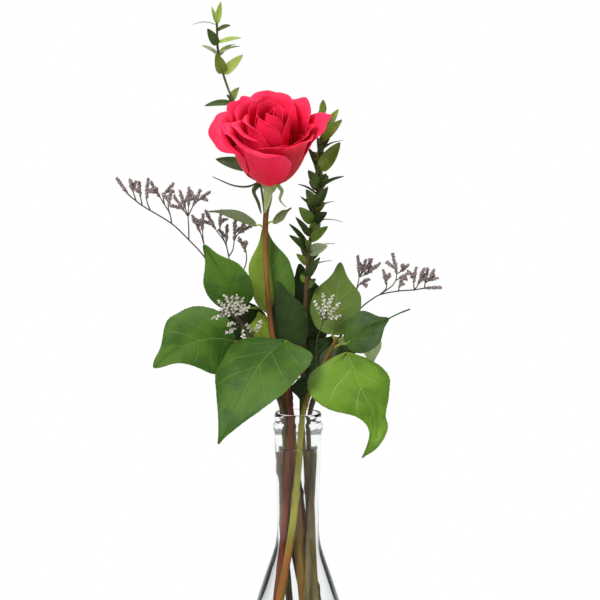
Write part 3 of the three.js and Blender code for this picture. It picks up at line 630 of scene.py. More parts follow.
ROSE_LINE = points(
    (9, 2, 4.65), (6, 1.6, 60), (2.4, 0.8, 110), (-0.4, 0, 150), (-2.6, -0.2, 186), (-5.2, -0.5, 220),
    (-11.4, -1.4, 244), (-15.4, -1.8, 265), (-18.2, -1.2, 292), (-19.4, -0.8, 320), (-19, -1.9, 339),
) + [HEAD - HEAD_AXIS * (HIP_DEPTH + 5), HEAD - HEAD_AXIS * (HIP_DEPTH - 0.4)]
SALAL_LINES = {
    "salal_stem_front": through_neck(245) + points((-7, -11, 238), (-13, -12.5, 252), (-21, -11.5, 261)),
    "salal_stem_right": through_neck(292) + points((9, -9.5, 236), (17, -6.5, 251), (23, -2.5, 263)),
    "salal_stem_back": through_neck(116) + points((-5.5, 10.5, 244), (-7, 13, 268), (-8, 13, 290)),
}
MYRTLE_LEFT_LINE = through_neck(158) + points(
    (-14.5, 8, 262), (-18.5, 11.5, 300), (-20.5, 14, 340), (-27, 17, 375), (-39, 17, 404), (-45, 17, 421),
    (-48, 16, 435), (-48.6, 15, 452),
)
MYRTLE_RIGHT_LINE = through_neck(72) + points(
    (3.2, 10, 250), (4.6, 10.5, 285), (6.4, 11, 313), (9.4, 11, 334), (12.2, 11, 352), (13.6, 10, 376),
    (15, 9, 400),
)
LIMONIUM_LEFT_LINE = through_neck(200) + points(
    (-20, 0, 246), (-38, 4, 279), (-55.8, 4, 311), (-65.4, 2, 322), (-75.6, 0, 332), (-88.2, -2, 340),
    (-93, -2.4, 343), (-96.6, -2.8, 345.8), (-101, -3.2, 349.6), (-107.4, -3.6, 358.6),
)
LIMONIUM_RIGHT_LINE = through_neck(30) + points(
    (17, 10, 243), (29, 14, 268), (38.4, 13, 280), (44.4, 11, 285), (49.2, 10, 288), (60.6, 9, 290.4),
    (70.2, 8.4, 291.2), (76.2, 8, 292.2), (85.4, 8, 292.6),
)


def above_lip(along):
    """0 in the vase and 1 well above it."""
    return smooth(0.36, 0.56, along)


def knobbly(first, last, seed, knots, swell=0.22, waist=lambda along: along):
    """A radius that tapers, wanders a little and swells at each knot."""
    wander, waves, knot_length = 0.05, 60, 0.006

    def radius_at(along, turn):
        radius = lerp(first, last, waist(along))
        radius *= 1 + wander * noise.noise(Vector((along * waves, math.cos(turn) + seed, math.sin(turn))))
        for knot in knots:
            radius *= 1 + swell * math.exp(-(((along - knot) / knot_length) ** 2))
        return radius

    return radius_at


def make_stems():
    radius_at = knobbly(2.6, 1.65, 1, (0.24, 0.52, 0.715), waist=above_lip)
    rose = tube("rose_stem", ROSE_LINE, radius_at, sides=14, steps=220)
    finished(painted(rose, ROSE_BARK), "rose_stem", "rose_stem")
    barks = ((SALAL_RED_BARK, 2.5), (SALAL_GREEN_BARK, 2.4), (SALAL_BARK, 2.5))
    for number, ((name, line), (bark, radius)) in enumerate(zip(SALAL_LINES.items(), barks)):
        knots = (0.2 + 0.03 * number, 0.44, 0.66, 0.8, 0.9)
        stem = tube(name, line, knobbly(radius, 1.15, number * 5, knots, 0.3), sides=12, steps=160)
        finished(painted(stem, bark), "salal_bark", name)


# Rose

# How high the rim of the bloom's centre stands, and how much lower the outermost petals end.
CENTRE_HEIGHT = 50
RIM_DROP = 7.5


def in_head(turn, radius, height):
    """A point by its angle round the rose's axis, its distance from it and its height above the hip."""
    outward = HEAD_RIGHT * math.cos(turn) + HEAD_BACK * math.sin(turn)
    return HEAD + HEAD_AXIS * height + outward * radius


def cup(layer, up):
    """The family of cups that the petals follow: layer 0 is the heart and 1 the outermost ring."""
    foot = 1.3 + 5.2 * layer
    foot_height = 6 * (1 - layer)
    girth = 4 + 26.5 * layer
    closing = 0.42 * (1 - layer) * girth * max(0, (up - 0.5) / 0.5) ** 2
    rolling = 3.2 * layer**2 * max(0, (up - 0.7) / 0.3) ** 2
    radius = foot + (girth - foot) * max(up, 0) ** (0.42 + 0.18 * layer) - closing + rolling
    height = foot_height + (CENTRE_HEIGHT - RIM_DROP * layer - foot_height) * up - 0.5 * rolling * up
    return radius, height


# Each petal: its angle (degrees), layer and half width (degrees), its lean, how tall it is, how far it
# flares, where its rim starts to roll, how far the roll turns (degrees) and how pointed its tip is.
PETALS = [
    (12, 1.0, 36, 0.047, 0.96, 0.97, 0.8, 55, 0.09),
    (94, 1.0, 47, 0.047, 1.02, 0.93, 0.86, 60, 0.02),
    (172, 1.0, 58, 0.047, 1.04, 0.9, 0.7, 115, 0.03),
    (252, 1.0, 52, 0.047, 0.93, 0.9, 0.9, 150, 0.02),
    (318, 1.0, 44, 0.047, 0.97, 0.84, 0.92, 90, 0.02),
    (50, 0.84, 50, 0.042, 0.95, 0.99, 0.86, 50, 0.06),
    (130, 0.84, 50, 0.042, 1.02, 0.95, 0.84, 60, 0.02),
    (204, 0.84, 52, 0.042, 0.98, 0.96, 0.8, 110, 0.03),
    (280, 0.84, 50, 0.042, 0.84, 0.9, 0.92, 40, 0.02),
    (342, 0.84, 50, 0.042, 0.9, 0.92, 0.9, 50, 0.03),
    (4, 0.68, 52, 0.044, 0.62, 1.0, 0.94, 20, 0.02),
    (76, 0.68, 52, 0.044, 1.02, 0.95, 0.88, 50, 0.02),
    (146, 0.68, 52, 0.044, 1.04, 0.98, 0.86, 80, 0.02),
    (206, 0.68, 56, 0.044, 1.0, 0.98, 0.86, 120, 0.03),
    (292, 0.68, 52, 0.044, 0.74, 0.9, 0.94, 20, 0.02),
    (40, 0.5, 50, 0.046, 0.55, 0.9, 0.95, 20, 0.0),
    (116, 0.5, 66, 0.046, 1.04, 0.98, 0.9, 60, 0.02),
    (205, 0.52, 66, 0.046, 1.0, 1.0, 0.9, 90, 0.02),
    (310, 0.5, 50, 0.046, 0.55, 0.9, 0.95, 20, 0.0),
    (15, 0.34, 82, 0.05, 0.97, 0.88, 0.94, 30, 0.02),
    (120, 0.36, 86, 0.05, 1.02, 0.9, 0.93, 40, 0.02),
    (222, 0.36, 86, 0.05, 1.0, 0.95, 0.92, 70, 0.02),
    (60, 0.2, 115, 0.05, 1.0, 0.7, 0.94, 30, 0.0),
    (236, 0.2, 120, 0.05, 1.0, 0.82, 0.94, 50, 0.0),
    (130, 0.045, 172, 0.05, 0.99, 0.35, 0.95, 20, 0.0),
]
# The numbers of the petals on the bloom's darker side, which take the petal paint with shade painted into
# it.
SHADED_PETALS = (5, 10, 15, 19)
# How far the top of the bud stands to the right of the outermost cup.
BUD_SHIFT = 3.4
PETAL_THICKNESS, SEPAL_THICKNESS = 0.32, 0.4


def petal_surface(angle, layer, half, lean, tall, flare, roll_from, roll_turn, point, seed):
    """One petal: a strip of its cup with a round outline and a rim that rolls outward. A slow ruffle runs
    over all of it, and a quicker frill over its rim."""
    claw = half * 0.45

    def surface(across, along):
        ruffle = noise.noise(Vector((across * 2.2 + seed * 7.3, along * 1.5, seed)))
        frill = noise.noise(Vector((across * 2.9 + seed * 3.7, seed * 1.3, 0.5))) * max(0.0, along) ** 3
        reach = 1 - 0.36 * abs(across) ** 2.8 + point * max(0, 1 - abs(across) / 0.45) ** 1.5
        reach += 0.03 * ruffle * along**3 + 0.035 * frill
        up = max(0.0, along) ** 1.25 * reach * tall
        width = claw + (half - claw) * smooth(0.12, 0.68, along)
        turn = math.radians(angle + across * width + 2.0 * ruffle * along)
        level = layer + lean * across + 0.012 * ruffle * along
        start = roll_from * tall * (1 - 0.1 * abs(across) ** 3 + 0.05 * ruffle)
        if up <= start:
            radius, height = cup(level, up)
        else:
            radius, height = cup(level, start)
            before = cup(level, start - 0.01)
            rise = Vector((radius - before[0], height - before[1])).normalized()
            out = Vector((rise.y, -rise.x))
            length = (up - start) * CENTRE_HEIGHT
            full = max((tall * reach - start) * CENTRE_HEIGHT, 0.5)
            bend = math.radians(roll_turn) * (0.85 + 0.5 * ruffle) / full
            swing = max(bend * length, 1e-5)
            moved = rise * (math.sin(swing) / bend) + out * ((1 - math.cos(swing)) / bend)
            radius += moved.x
            height += moved.y
        radius *= lerp(1, flare, smooth(0.1, 1, up))
        radius += 2.0 * layer * frill
        return in_head(turn, radius, height) + HEAD_RIGHT * (BUD_SHIFT * (1 - layer) * up)

    return surface


def make_petals():
    for number, shape in enumerate(PETALS, 1):
        name = f"rose_petal_{number:02d}" if number < len(PETALS) else "rose_heart"
        half = shape[2]
        flesh = sheet(name + "_flesh", round(14 + half * 0.3), 34, petal_surface(*shape, number))
        # Petals on the shaded side take the copy of the paint with painted shade.
        paint = PETAL_SHADED if number in SHADED_PETALS else PETAL
        finished(painted(thicken(flesh, PETAL_THICKNESS), paint), "rose_petal", name)


def make_hip():
    line = upright([
        (0, -HIP_DEPTH), (1.9, -HIP_DEPTH), (2.5, -9.2), (3.4, -8), (4.5, -5), (4.8, -2.4), (6.4, -1.2),
        (0, 5.4),
    ])

    def skin(across, along):
        place = curve(line, along)
        turn = across * math.pi
        ribs = 1 + 0.035 * math.cos(5 * turn)
        return in_head(turn, max(place.x, 0) * ribs, place.z)

    hip = sheet("rose_hip_flesh", 40, 28, skin)
    close_seams(hip)
    finished(painted(round_off(hip), HIP), "rose_green", "rose_hip")


# Each sepal: its angle, its width, how far it twists (degrees), its paint and where it runs.
SEPALS = [
    (262, 6.0, 15, SEPAL, points((-17.8, -11, 349), (-18.6, -8, 344), (-19.6, -6.5, 339))),
    (205, 3.8, -60, SEPAL_DARK, points((-26, -9.5, 352.8), (-23.4, -6.5, 345), (-21.9, -5, 338.4))),
    (325, 2.4, 120, SEPAL, points((-9.6, -10.8, 352.6), (-10.6, -9.5, 347.6), (-7, -8.4, 342.4))),
    (165, 1.5, -50, SEPAL_DARK, points((-29, -7, 354.8), (-37, -7, 355), (-51, -6, 360.6))),
    (70, 4.0, 20, SEPAL, points((-13, 1.5, 360), (-11.6, 5, 357), (-10.8, 7, 352))),
]


def make_sepals():
    for number, (angle, width, twist, paint, run) in enumerate(SEPALS, 1):
        outward = in_head(math.radians(angle), 1, 0) - HEAD
        first_side = HEAD_AXIS.cross(outward).normalized()
        line = [in_head(math.radians(angle), 5.0, -2.2), *run]

        def surface(across, along):
            onward = (curve(line, along + 0.01) - curve(line, along - 0.01)).normalized()
            normal = onward.cross(first_side).normalized()
            turn = math.radians(twist * along)
            side = first_side * math.cos(turn) + normal * math.sin(turn)
            face = normal * math.cos(turn) - first_side * math.sin(turn)
            half = 0.14 + width / 2 * min(1, 0.55 + 3 * along) * (1 - along) ** 0.7
            wave = 0.4 * math.sin(along * 7 + number)
            rise = half * 0.35 * abs(across) + wave * along
            return curve(line, along) + side * (across * half) + face * rise

        name = f"rose_sepal_{number}"
        sepal = thicken(sheet(name + "_blade", 8, 40, surface), SEPAL_THICKNESS)
        finished(painted(sepal, paint), "rose_green", name)


# Leaves

LEAF_THICKNESS = 0.45


def at_height(line, height):
    """The place and direction of a line where it reaches a height, found by halving."""
    low, high = 0.0, 1.0
    for _ in range(30):
        middle = (low + high) / 2
        if curve(line, middle).z < height:
            low = middle
        else:
            high = middle
    return curve(line, low), (curve(line, low + 0.005) - curve(line, low - 0.005)).normalized()


def outline(along):
    """Half the width of a blade: round at the foot and drawn out to a fine tip."""
    share = min(max(along, 0.004), 0.997)
    return math.sin(math.pi * share**0.72) ** 0.55 * (1 - 0.55 * smooth(0.55, 0.9, share))


def margin(widths, share):
    """A half width at a share of the length, from half widths at equal steps."""
    last = len(widths) - 1
    i = min(int(share * last), last - 1)
    t = share * last - i
    before, here, onward, after = (widths[min(max(j, 0), last)] for j in range(i - 1, i + 3))
    start, end = (onward - before) / 2, (after - here) / 2
    swing = 3 * (onward - here) - 2 * start - end
    width = here + start * t + swing * t**2 + (2 * (here - onward) + start + end) * t**3
    return max(width, 0.1) * min(1.0, (share + 0.002) / 0.05) ** 0.5


def midrib_of(base, bend, tip, rib):
    """The place and direction, at a share, of a midrib that bends once or runs through the points of rib."""
    if rib:
        line = [base, *points(*rib), tip]
        return lambda share: (curve(line, share), curve(line, share + 0.01) - curve(line, share - 0.01))
    return lambda share: (
        base.lerp(bend, share).lerp(bend.lerp(tip, share), share),
        (bend - base).lerp(tip - bend, share),
    )


def blade_surface(base, tip, face, bend=None, rib=None, width=0, margins=None, fold=0.15, droop=0.2,
                  body=1.0, wave=1.0, quilt=0.3, pairs=VEIN_PAIRS, teeth=26, seed=1.0):
    """A leaf's blade. Its half widths come from margins, one list for each side, or else from width and the
    usual outline. Its face turns towards face, and quilt puffs it up between the side veins."""
    base, tip, face = Vector(base), Vector(tip), Vector(face)
    midrib = midrib_of(base, Vector(bend) if bend else None, tip, rib)

    def surface(across, along):
        shaped = math.copysign(abs(across) ** 1.25, across)
        centre, onward = midrib(along)
        onward = onward.normalized()
        side = onward.cross(face).normalized()
        normal = side.cross(onward)
        if margins:
            half = margin(margins[0 if across < 0 else 1], along)
        else:
            half = width / 2 * outline(along / body)
        edge = abs(shaped)
        tooth = (along * teeth) % 1.0
        uneven = noise.noise(Vector((seed, along * 5, across)))
        half *= 1 + 0.018 * (tooth - 0.5) * edge**8 + 0.05 * edge * uneven
        rise = half * (fold * edge - droop * edge**2)
        phase = ((along - edge * VEIN_SWEEP) * pairs) % 1.0
        hill = abs(math.sin(math.pi * (phase - 0.5)))
        puff = quilt * hill * min(1, edge * 5) * (1 - edge**3)
        rise += puff * smooth(0.0, 0.12, along) * smooth(1.0, 0.8, along)
        rise += wave * edge**2 * 1.6 * noise.noise(Vector((across * 1.2 + seed, along * 3.2, seed * 3.1)))
        rise += wave * 0.8 * noise.noise(Vector((across * 2 + seed * 5, along * 2, seed)))
        return centre + side * (shaped * half) + normal * rise

    return surface


def leaf(name, paint, stem, height, base, tip, face, via=None, stalk=0.75, rows=90, columns=30,
         radius=1.7, slot="salal_leaf", stalk_paint=STALK, **more):
    """A leaf and its stalk, which starts in the bark of its stem and may go by way of via."""
    surface = blade_surface(base, tip, face, **more)
    blade = thicken(sheet(name + "_blade", columns, rows, surface), LEAF_THICKNESS)
    base = Vector(base)
    centre, onward = at_height(stem, height)
    via = Vector(via) if via else None
    away = (via or base) - centre
    away = (away - away.project(onward)).normalized()
    root = centre + away * radius * 0.6
    arc = via or root.lerp(base, 0.55) + UP * 0.8
    line = [root, arc, base, surface(0, 0.06)]
    petiole = tube(name + "_stalk", line, tapered(stalk * 1.15, stalk * 0.7), sides=8, steps=26)
    piece = joined(name + "_whole", [painted(blade, paint), painted(petiole, stalk_paint)])
    finished(piece, slot, name)


def salal(name, *where, **more):
    leaf("salal_leaf_" + name, *where, **more)


FRONT, RIGHT, BACK = (SALAL_LINES[f"salal_stem_{side}"] for side in ("front", "right", "back"))


def make_leaves():
    salal("front", SALAL_DEEP, FRONT, 246, (-6.5, -16.5, 263), (-46.5, -58, 208), (-0.25, -0.7, 0.6),
          bend=(-22, -46, 263), seed=1.3, wave=1.6,
          margins=((6, 22, 26, 26, 25, 22, 16, 7.5, 0.3), (6, 18, 22.5, 25, 25, 24, 16, 7, 0.3)))
    salal("left", SALAL_DEEP, FRONT, 260.5, (-38, -8.5, 262), (-85, -36, 250), (-0.1, -0.8, 0.55),
          bend=(-60, -19, 270.5), width=50, seed=2.1, wave=1.2)
    salal("right", SALAL_BRIGHT, RIGHT, 249, (29.5, -13, 255.5), (37.8, -43, 197.3), (0.2, -0.5, 0.84),
          rib=((36, -27, 238.6), (44.2, -38, 222.3), (44.4, -42, 211.8)), seed=3.7, wave=1.6,
          margins=((6, 18, 21, 16, 9, 8.5, 7, 5, 0.3), (6, 26, 32, 26, 12, 5.5, 2.5, 1, 0.3)))
    salal("upper_left", SALAL_DEEP, BACK, 274, (-33, -5, 283), (-56, -9, 320), (-0.3, -0.9, 0.1),
          bend=(-43, -10, 299), width=28, via=(-20, 11.5, 279), fold=0.35, seed=4.9)
    salal("upper_right", SALAL_SAGE, RIGHT, 262, (20.5, 5, 264.5), (25.5, 16, 307), (0.2, 0.95, -0.1),
          bend=(24, 11, 285), width=31, seed=5.2)
    salal("rolled", SALAL_SHADOWED, RIGHT, 258, (29, -3, 260), (67, -5, 281), (-0.3, -0.85, 0.45),
          bend=(52, -10, 276), width=26, fold=0.3, body=0.62, seed=6.4, wave=0.6)
    salal("pale", SALAL_PALE, RIGHT, 261, (36, 6, 268), (43, 7, 242), (0.1, 0.9, 0.3), bend=(47, 7, 263),
          width=15, stalk=0.6, seed=7.1, wave=0.6)
    salal("upright", SALAL_UPRIGHT, BACK, 268, (-11.5, 5.5, 277), (-20.5, 6, 330), (0.1, -1, 0.1),
          bend=(-17.5, 4, 303), width=27, seed=8.8, wave=0.8)
    salal("inner", SALAL_SHADE, BACK, 250, (-2.8, 4.5, 256), (-12, 2.5, 297), (0.1, -1, 0),
          bend=(-4.5, 1.5, 277), width=22, seed=9.9, wave=0.5)
    salal("middle", SALAL_SHADE, BACK, 254, (1, 18, 254), (1, 18.5, 306), (0.1, -1, 0.1),
          bend=(6, 19.5, 280), width=34, seed=16.4, wave=0.5)
    salal("tucked", SALAL_LIT, FRONT, 255, (-21, 4.5, 262), (-24, 5.5, 278), (0.1, -1, 0),
          bend=(-21, 5.5, 271), width=16, seed=17.3, wave=0.4)
    salal("behind", SALAL_SHADE, BACK, 260, (-22, 14, 262), (-48, 9, 278), (0.1, -1, 0.1),
          bend=(-35, 11, 272), width=28, seed=18.8, wave=0.5)
    salal("under", SALAL_SHADE, BACK, 235, (0.5, 5.5, 237.5), (2.5, 4, 221), (0.1, -1, 0),
          bend=(4, 4.5, 234), width=14, seed=19.7, wave=0.4)
    salal("shaded", SALAL_SHADE, RIGHT, 238, (17, -1.5, 243), (37, 3, 258), (-0.2, -0.9, 0.3),
          bend=(24, 1, 251), width=20, seed=10.3, wave=0.5)
    salal("low", SALAL_SHADE, BACK, 238, (0, 14, 240), (22, 16, 262), (0.1, -1, 0.1), bend=(10, 14.5, 252),
          width=20, seed=15.2, wave=0.5)
    salal("back_left", SALAL_DEEP, BACK, 240, (-12, 20, 243), (-32, 66, 218), (-0.2, 0.6, 0.7),
          bend=(-22, 44, 252), width=42, seed=11.5)
    salal("back_right", SALAL_DEEP, BACK, 250, (2, 26, 252), (36, 60, 232), (0.2, 0.6, 0.7),
          bend=(18, 42, 262), width=38, seed=12.6)
    small = {
        "radius": 2.2, "rows": 50, "columns": 12, "slot": "rose_green", "quilt": 0.15, "pairs": 9,
        "teeth": 14, "stalk": 0.6, "stalk_paint": HIP,
    }
    leaf("rose_leaf_left", ROSE_LEAF, ROSE_LINE, 330, (-25, -1, 331), (-55, -3, 339), (0.1, -0.5, 0.9),
         bend=(-38, -2, 341), width=9, seed=13.1, wave=0.4, **small)
    leaf("rose_leaf_right", ROSE_LEAF, ROSE_LINE, 332, (-15, -2, 333), (-4, -6, 342), (-0.2, -0.6, 0.8),
         bend=(-10, -4, 337), width=8, seed=14.2, wave=0.4, **small)


# Myrtle

MYRTLE_THICKNESS = 0.3
# From one leaf or floret to the next round a twig, in radians, so that none stands straight over another.
GOLDEN_TURN = 2.4

# A leaf springs from the twig at a height and runs to its tip; then come its width, how much its face turns
# to the front, and its paint.

LEFT_LEAVES = [
    (450.5, (-46.1, 12, 464), 3.8, 1, BRIGHT), (450.5, (-51.7, 16, 461), 2.4, 0.6, BRIGHT),
    (446.5, (-40.4, 10, 450), 4, 0.5, DARK), (438, (-54, 8, 448), 5.6, 1, DARK),
    (439.4, (-34, 14, 442.4), 3.4, 0.5, BRIGHT), (432.4, (-34.8, 20, 437.3), 2.6, 0.2, GREY),
    (432, (-57.6, 20, 437.7), 3, 0.3, GREY), (421, (-48.8, 4, 433.5), 7, 0.8, GREEN),
    (420.7, (-33, 9, 432.4), 6, 1, BRIGHT), (450, (-63.2, 22, 450.3), 1.8, 0, GREY),
    (403, (-56, 12, 401.8), 5, 0.5, DARK), (402, (-42.8, 14, 408.4), 3, 0, DARK),
    (364, (-49.8, 20, 369.3), 8, 1, DARK), (431, (-38, 31, 438), 5, 0, GREEN),
    (404, (-36, 32, 412), 6, 0, GREEN), (385, (-26, 31, 394), 6, 0, GREEN),
]
RIGHT_LEAVES = [
    (397, (15, 8, 405.7), 4.4, 1, GREEN), (385, (24.3, 12, 399.8), 5.4, 1, GREEN),
    (381, (26.4, 6, 393.9), 6, 0.8, GREEN), (373.7, (11.4, 5, 383.5), 3.8, 0.5, DARK),
    (374, (19.2, 8, 383), 3.6, 0.4, DARK), (362.8, (25.2, 2, 380.6), 8.8, 1, GREEN),
    (374.8, (27, 16, 380.8), 2.6, 0, DARK), (361.6, (6, 12, 377), 4, 0.4, DARK),
    (353, (6, 3, 363.7), 6.5, 0.8, DARK), (352, (27.6, 8, 359.8), 4, 0.3, DARK),
    (348, (0, 14, 354.6), 2.6, 0.2, DARK), (341, (4.8, 3, 352.3), 6.5, 0.8, DARK),
    (341, (18, 5, 353.8), 5.5, 0.7, DARK), (337.6, (1.2, 18, 347), 1.8, 0, GREY),
    (338.8, (1.8, 4, 347.3), 3, 0.5, DARK), (331.6, (0.6, 2, 341.6), 7, 1, GREEN),
    (331.6, (17.4, 3, 338.5), 6.5, 0.8, DARK), (331.6, (27, 15, 331.7), 1.8, 0, GREY),
    (338.2, (21.9, 18, 344), 1.8, 0, GREY), (323.3, (-1.5, 5, 335.5), 3.8, 0.8, DARK),
    (314.8, (-5.4, 14, 330.6), 4.5, 0.3, DARK), (313.6, (-5.4, 4, 324.7), 5, 0.6, DARK),
    (320.8, (18, 4, 329.9), 6, 0.8, GREEN), (314.2, (22.2, 16, 318.4), 2.5, 0, GREY),
    (313.6, (17.7, 4, 318.2), 7.5, 0.8, GREY), (307.6, (12.6, 8, 313.3), 4, 0.6, DARK),
    (298, (13.2, 8, 310.9), 5, 0.6, DARK), (302.8, (20.4, 17, 308), 1.8, 0, DARK),
    (390, (14, 22, 399), 6, 0, DARK), (377, (20, 23, 386), 6.5, 0, DARK),
    (364, (11, 25, 373), 6.5, 0, DARK), (350, (18, 25, 359), 6.5, 0, DARK),
    (336, (5, 24, 345), 6.5, 0, DARK), (322, (13, 25, 331), 6.5, 0, DARK), (308, (2, 24, 317), 6, 0, DARK),
]


def small_leaf(root, direction, tip, width, front, seed):
    """The surface of a myrtle leaf: pointed, folded along its midrib and arched, on a very short stalk."""
    length = tip - root
    across_face = direction * 0.8 - length.normalized()
    face = across_face.lerp(Vector((0, -1, 0.2)), front)
    side = length.cross(face).normalized()
    normal = side.cross(length).normalized()
    reach = length.length

    def surface(across, along):
        taper = math.sin(math.pi * (0.08 + 0.92 * along**0.85)) ** 0.7
        half = width * 0.5 * smooth(-0.04, 0.12, along) * taper
        half = max(half, 0.35 if along < 0.5 else 0.05)
        arch = 0.09 * reach * math.sin(math.pi * along) * (1 - front * 0.6)
        ripple = 0.2 * noise.noise(Vector((across + seed, along * 2.5, seed * 1.7)))
        rise = 0.22 * half * abs(across) + arch + ripple * abs(across)
        return root + length * along + side * (across * half) + normal * rise

    return surface


def tuft(line, first, last, count, reach):
    """Leaves set round a twig at an even turn, between the ones placed one by one."""
    leaves = []
    for number in range(count):
        height = lerp(first, last, number / (count - 1))
        centre, _ = at_height(line, height)
        turn = number * GOLDEN_TURN
        outward = Vector((math.cos(turn), math.sin(turn), 1)).normalized()
        tip = centre + outward * reach * (0.9 + 0.2 * math.sin(5 * number))
        leaves.append((height, tip, 4.6, 0.6, GREEN if number % 3 == 1 else DARK))
    return leaves


def myrtle_twig(name, line, radius_at, leaves, bark, slot):
    parts = [painted(tube(name + "_twig", line, radius_at, sides=10, steps=200), bark)]
    for number, (height, tip, width, front, paint) in enumerate(leaves):
        centre, onward = at_height(line, height)
        surface = small_leaf(centre, onward, Vector(tip), width, front, number * 1.37)
        blade = thicken(sheet(f"{name}_leaf_{number}", 10, 22, surface), MYRTLE_THICKNESS)
        parts.append(painted(blade, paint))
    finished(joined(name + "_whole", parts), slot, name)


def make_myrtle():
    slender = knobbly(2.3, 0.7, 3, (0.3, 0.5), 0.2, waist=above_lip)
    sturdy = knobbly(2.3, 0.55, 3, (0.3, 0.5), 0.2)
    myrtle_twig("myrtle_left", MYRTLE_LEFT_LINE, slender, LEFT_LEAVES, MYRTLE_GREEN_BARK, "myrtle_light")
    dense = RIGHT_LEAVES + tuft(MYRTLE_RIGHT_LINE, 292, 372, count=24, reach=9)
    myrtle_twig("myrtle_right", MYRTLE_RIGHT_LINE, sturdy, dense, MYRTLE_BARK, "myrtle_dark")


# Sea lavender

# Each row is a fork, on the stem or on a sprig, and the sprigs that leave it. The last stretch of a sprig
# carries the florets: dried ones in tight dark brushes, or fresh cream ones that stand off it like beads.
LEFT_DRIED = [
    ((-96.6, -2.8, 345.8), [(-98.2, -3, 351), (-100.2, -3.4, 358)]),
    ((-93, -2.4, 343), [(-93.8, -4, 348), (-94.8, -4.6, 356.2)]),
    ((-88.2, -2, 340), [(-90.3, -3, 346.6), (-89.4, -3, 358)]),
    ((-75.6, 0, 332), [(-76.6, -1, 338), (-79.8, -1.6, 343.6), (-82.4, -2, 348), (-87, -2.4, 356.2)]),
    ((-79.8, -1.6, 343.6), [(-80.4, 0, 349), (-75, 1, 355)]),
    ((-76.6, -1, 338), [(-77.4, -3, 342), (-75.6, -3.4, 351.4)]),
    ((-65.4, 2, 322), [(-65.4, 0, 330), (-65.7, -1, 336.4), (-65.4, -1, 342), (-65.1, -1, 352.6)]),
    ((-65.7, -1, 336.4), [(-67.4, -3, 339), (-73.2, -4, 347.8)], [(-67.4, 1, 341), (-70.2, 2, 350.2)],
     [(-62.8, -2, 342.6), (-58.8, -3, 351.4)]),
    ((-62.8, -2, 342.6), [(-60, 1, 345.4), (-53.7, 2, 350.2)]),
    ((-55.8, 4, 311), [(-56.6, 5, 319.6), (-57.3, 6, 327), (-57, 5, 335.8)]),
    ((-56.6, 5, 319.6), [(-58.6, 6.4, 326), (-63, 7, 335.2)]),
    ((-32, 2.8, 268),
     [(-39, 8, 295), (-41.7, 8, 311.5), (-43.8, 7.5, 319.6), (-49.2, 8, 327.4), (-55.2, 8, 338.2)]),
    ((-43.8, 7.5, 319.6), [(-46.8, 6, 328.4), (-46.2, 6, 338.8)]),
    ((-41.7, 8, 311.5), [(-43.2, 10, 319.6), (-42.6, 11, 329.2)],
     [(-39.4, 8, 315), (-38.4, 8, 321), (-37.8, 8, 335.2)]),
    ((-38.4, 8, 321), [(-36, 9, 325), (-28.2, 10, 329.8)]),
    ((-39, 8, 295), [(-32, 9.5, 305), (-31.2, 9, 313.6), (-35.4, 8, 322)]),
]
LEFT_FRESH = [
    ((-24, 0.9, 253), [(-27, -2, 265), (-34, -12, 273), (-37, -15, 277), (-39, -16, 289)]),
    ((-37, -15, 277), [(-41, -15.5, 279), (-50, -16, 277)], [(-41, -16, 281), (-47, -16, 287)],
     [(-35.6, -15, 281), (-33, -15, 288)], [(-34.4, -14, 279), (-29.4, -13, 283)]),
    ((-34, -12, 273), [(-36.4, -13, 271), (-42.5, -14, 268)], [(-33.4, -13.5, 270), (-32, -15, 263.8)]),
    ((-27, -2, 265), [(-26, -7, 267), (-22, -10, 274)]),
    ((-26, -7, 267), [(-27.4, -9, 268), (-30, -11, 272)]),
    ((-37, -15, 277), [(-38.6, -16, 282), (-43.5, -17, 290)], [(-37, -16, 281), (-36, -17, 290)],
     [(-39.6, -17, 279), (-46, -18, 282)], [(-36, -16, 278.6), (-32, -17, 284)]),
    ((-34, -12, 273), [(-37, -14, 274), (-41, -16, 273)]),
]
RIGHT_DRIED = [
    ((49.2, 10, 288), [(52.8, 9, 291.6), (53.4, 8.5, 294), (51.6, 8, 302)],
     [(54, 9, 291.5), (57, 8, 294), (58.8, 8, 297), (59.4, 8, 301), (57, 8, 312)]),
    ((58.8, 8, 297), [(60.6, 7, 298), (65.4, 6, 301)]),
    ((59.4, 8, 301), [(61.6, 9, 302), (65.4, 10, 305.4)]),
    ((60.6, 9, 290.4), [(60.8, 8, 292), (62, 7, 296.4)]),
    ((70.2, 8.4, 291.2), [(69.7, 8, 295), (70.8, 8, 303.6)], [(72, 7, 294), (75.6, 6, 303.6)]),
    ((76.2, 8, 292.2), [(76.6, 8, 295.6), (78, 9, 302.8)]),
    ((76.6, 8, 295.6), [(78.4, 7, 296.8), (81.2, 7, 302.4)]),
    ((78.4, 7, 296.8), [(79.4, 6, 297), (82.8, 6, 298.4)]),
    ((23, 12.2, 255), [(29, 18, 272), (35, 20, 289), (37, 18, 298), (36.4, 17.6, 309.8)]),
    ((37, 18, 298), [(38.4, 17, 300.6), (40.8, 15, 307.8)], [(39.4, 18, 300.8), (44.4, 18, 308)],
     [(40, 19, 299), (48.6, 19, 305.4)]),
    ((35, 20, 289), [(37, 19, 293), (42, 18, 296)]),
]
RIGHT_FRESH = [
    ((12.9, 7.6, 232), [(11, 5, 248), (11.5, 1, 262), (15, -3, 274), (15.4, -4, 289)]),
    ((15, -3, 274), [(13.6, -4, 278), (10.4, -4, 285)], [(17, -4, 279), (20.4, -5, 288.6)],
     [(18, -4, 277), (24.4, -5, 284)], [(18, -4, 275), (24.6, -5, 277)]),
]
# How florets are set: one at each step, between two sizes, leaning outward, and how wide their mouths are.
DRIED_HABIT = {"step": 0.42, "size": (1.9, 3.1), "spread": (0.1, 0.45), "mouth": 0.3}
FRESH_HABIT = {"step": 0.85, "size": (1.5, 2.4), "spread": (0.3, 0.9), "mouth": 0.4}


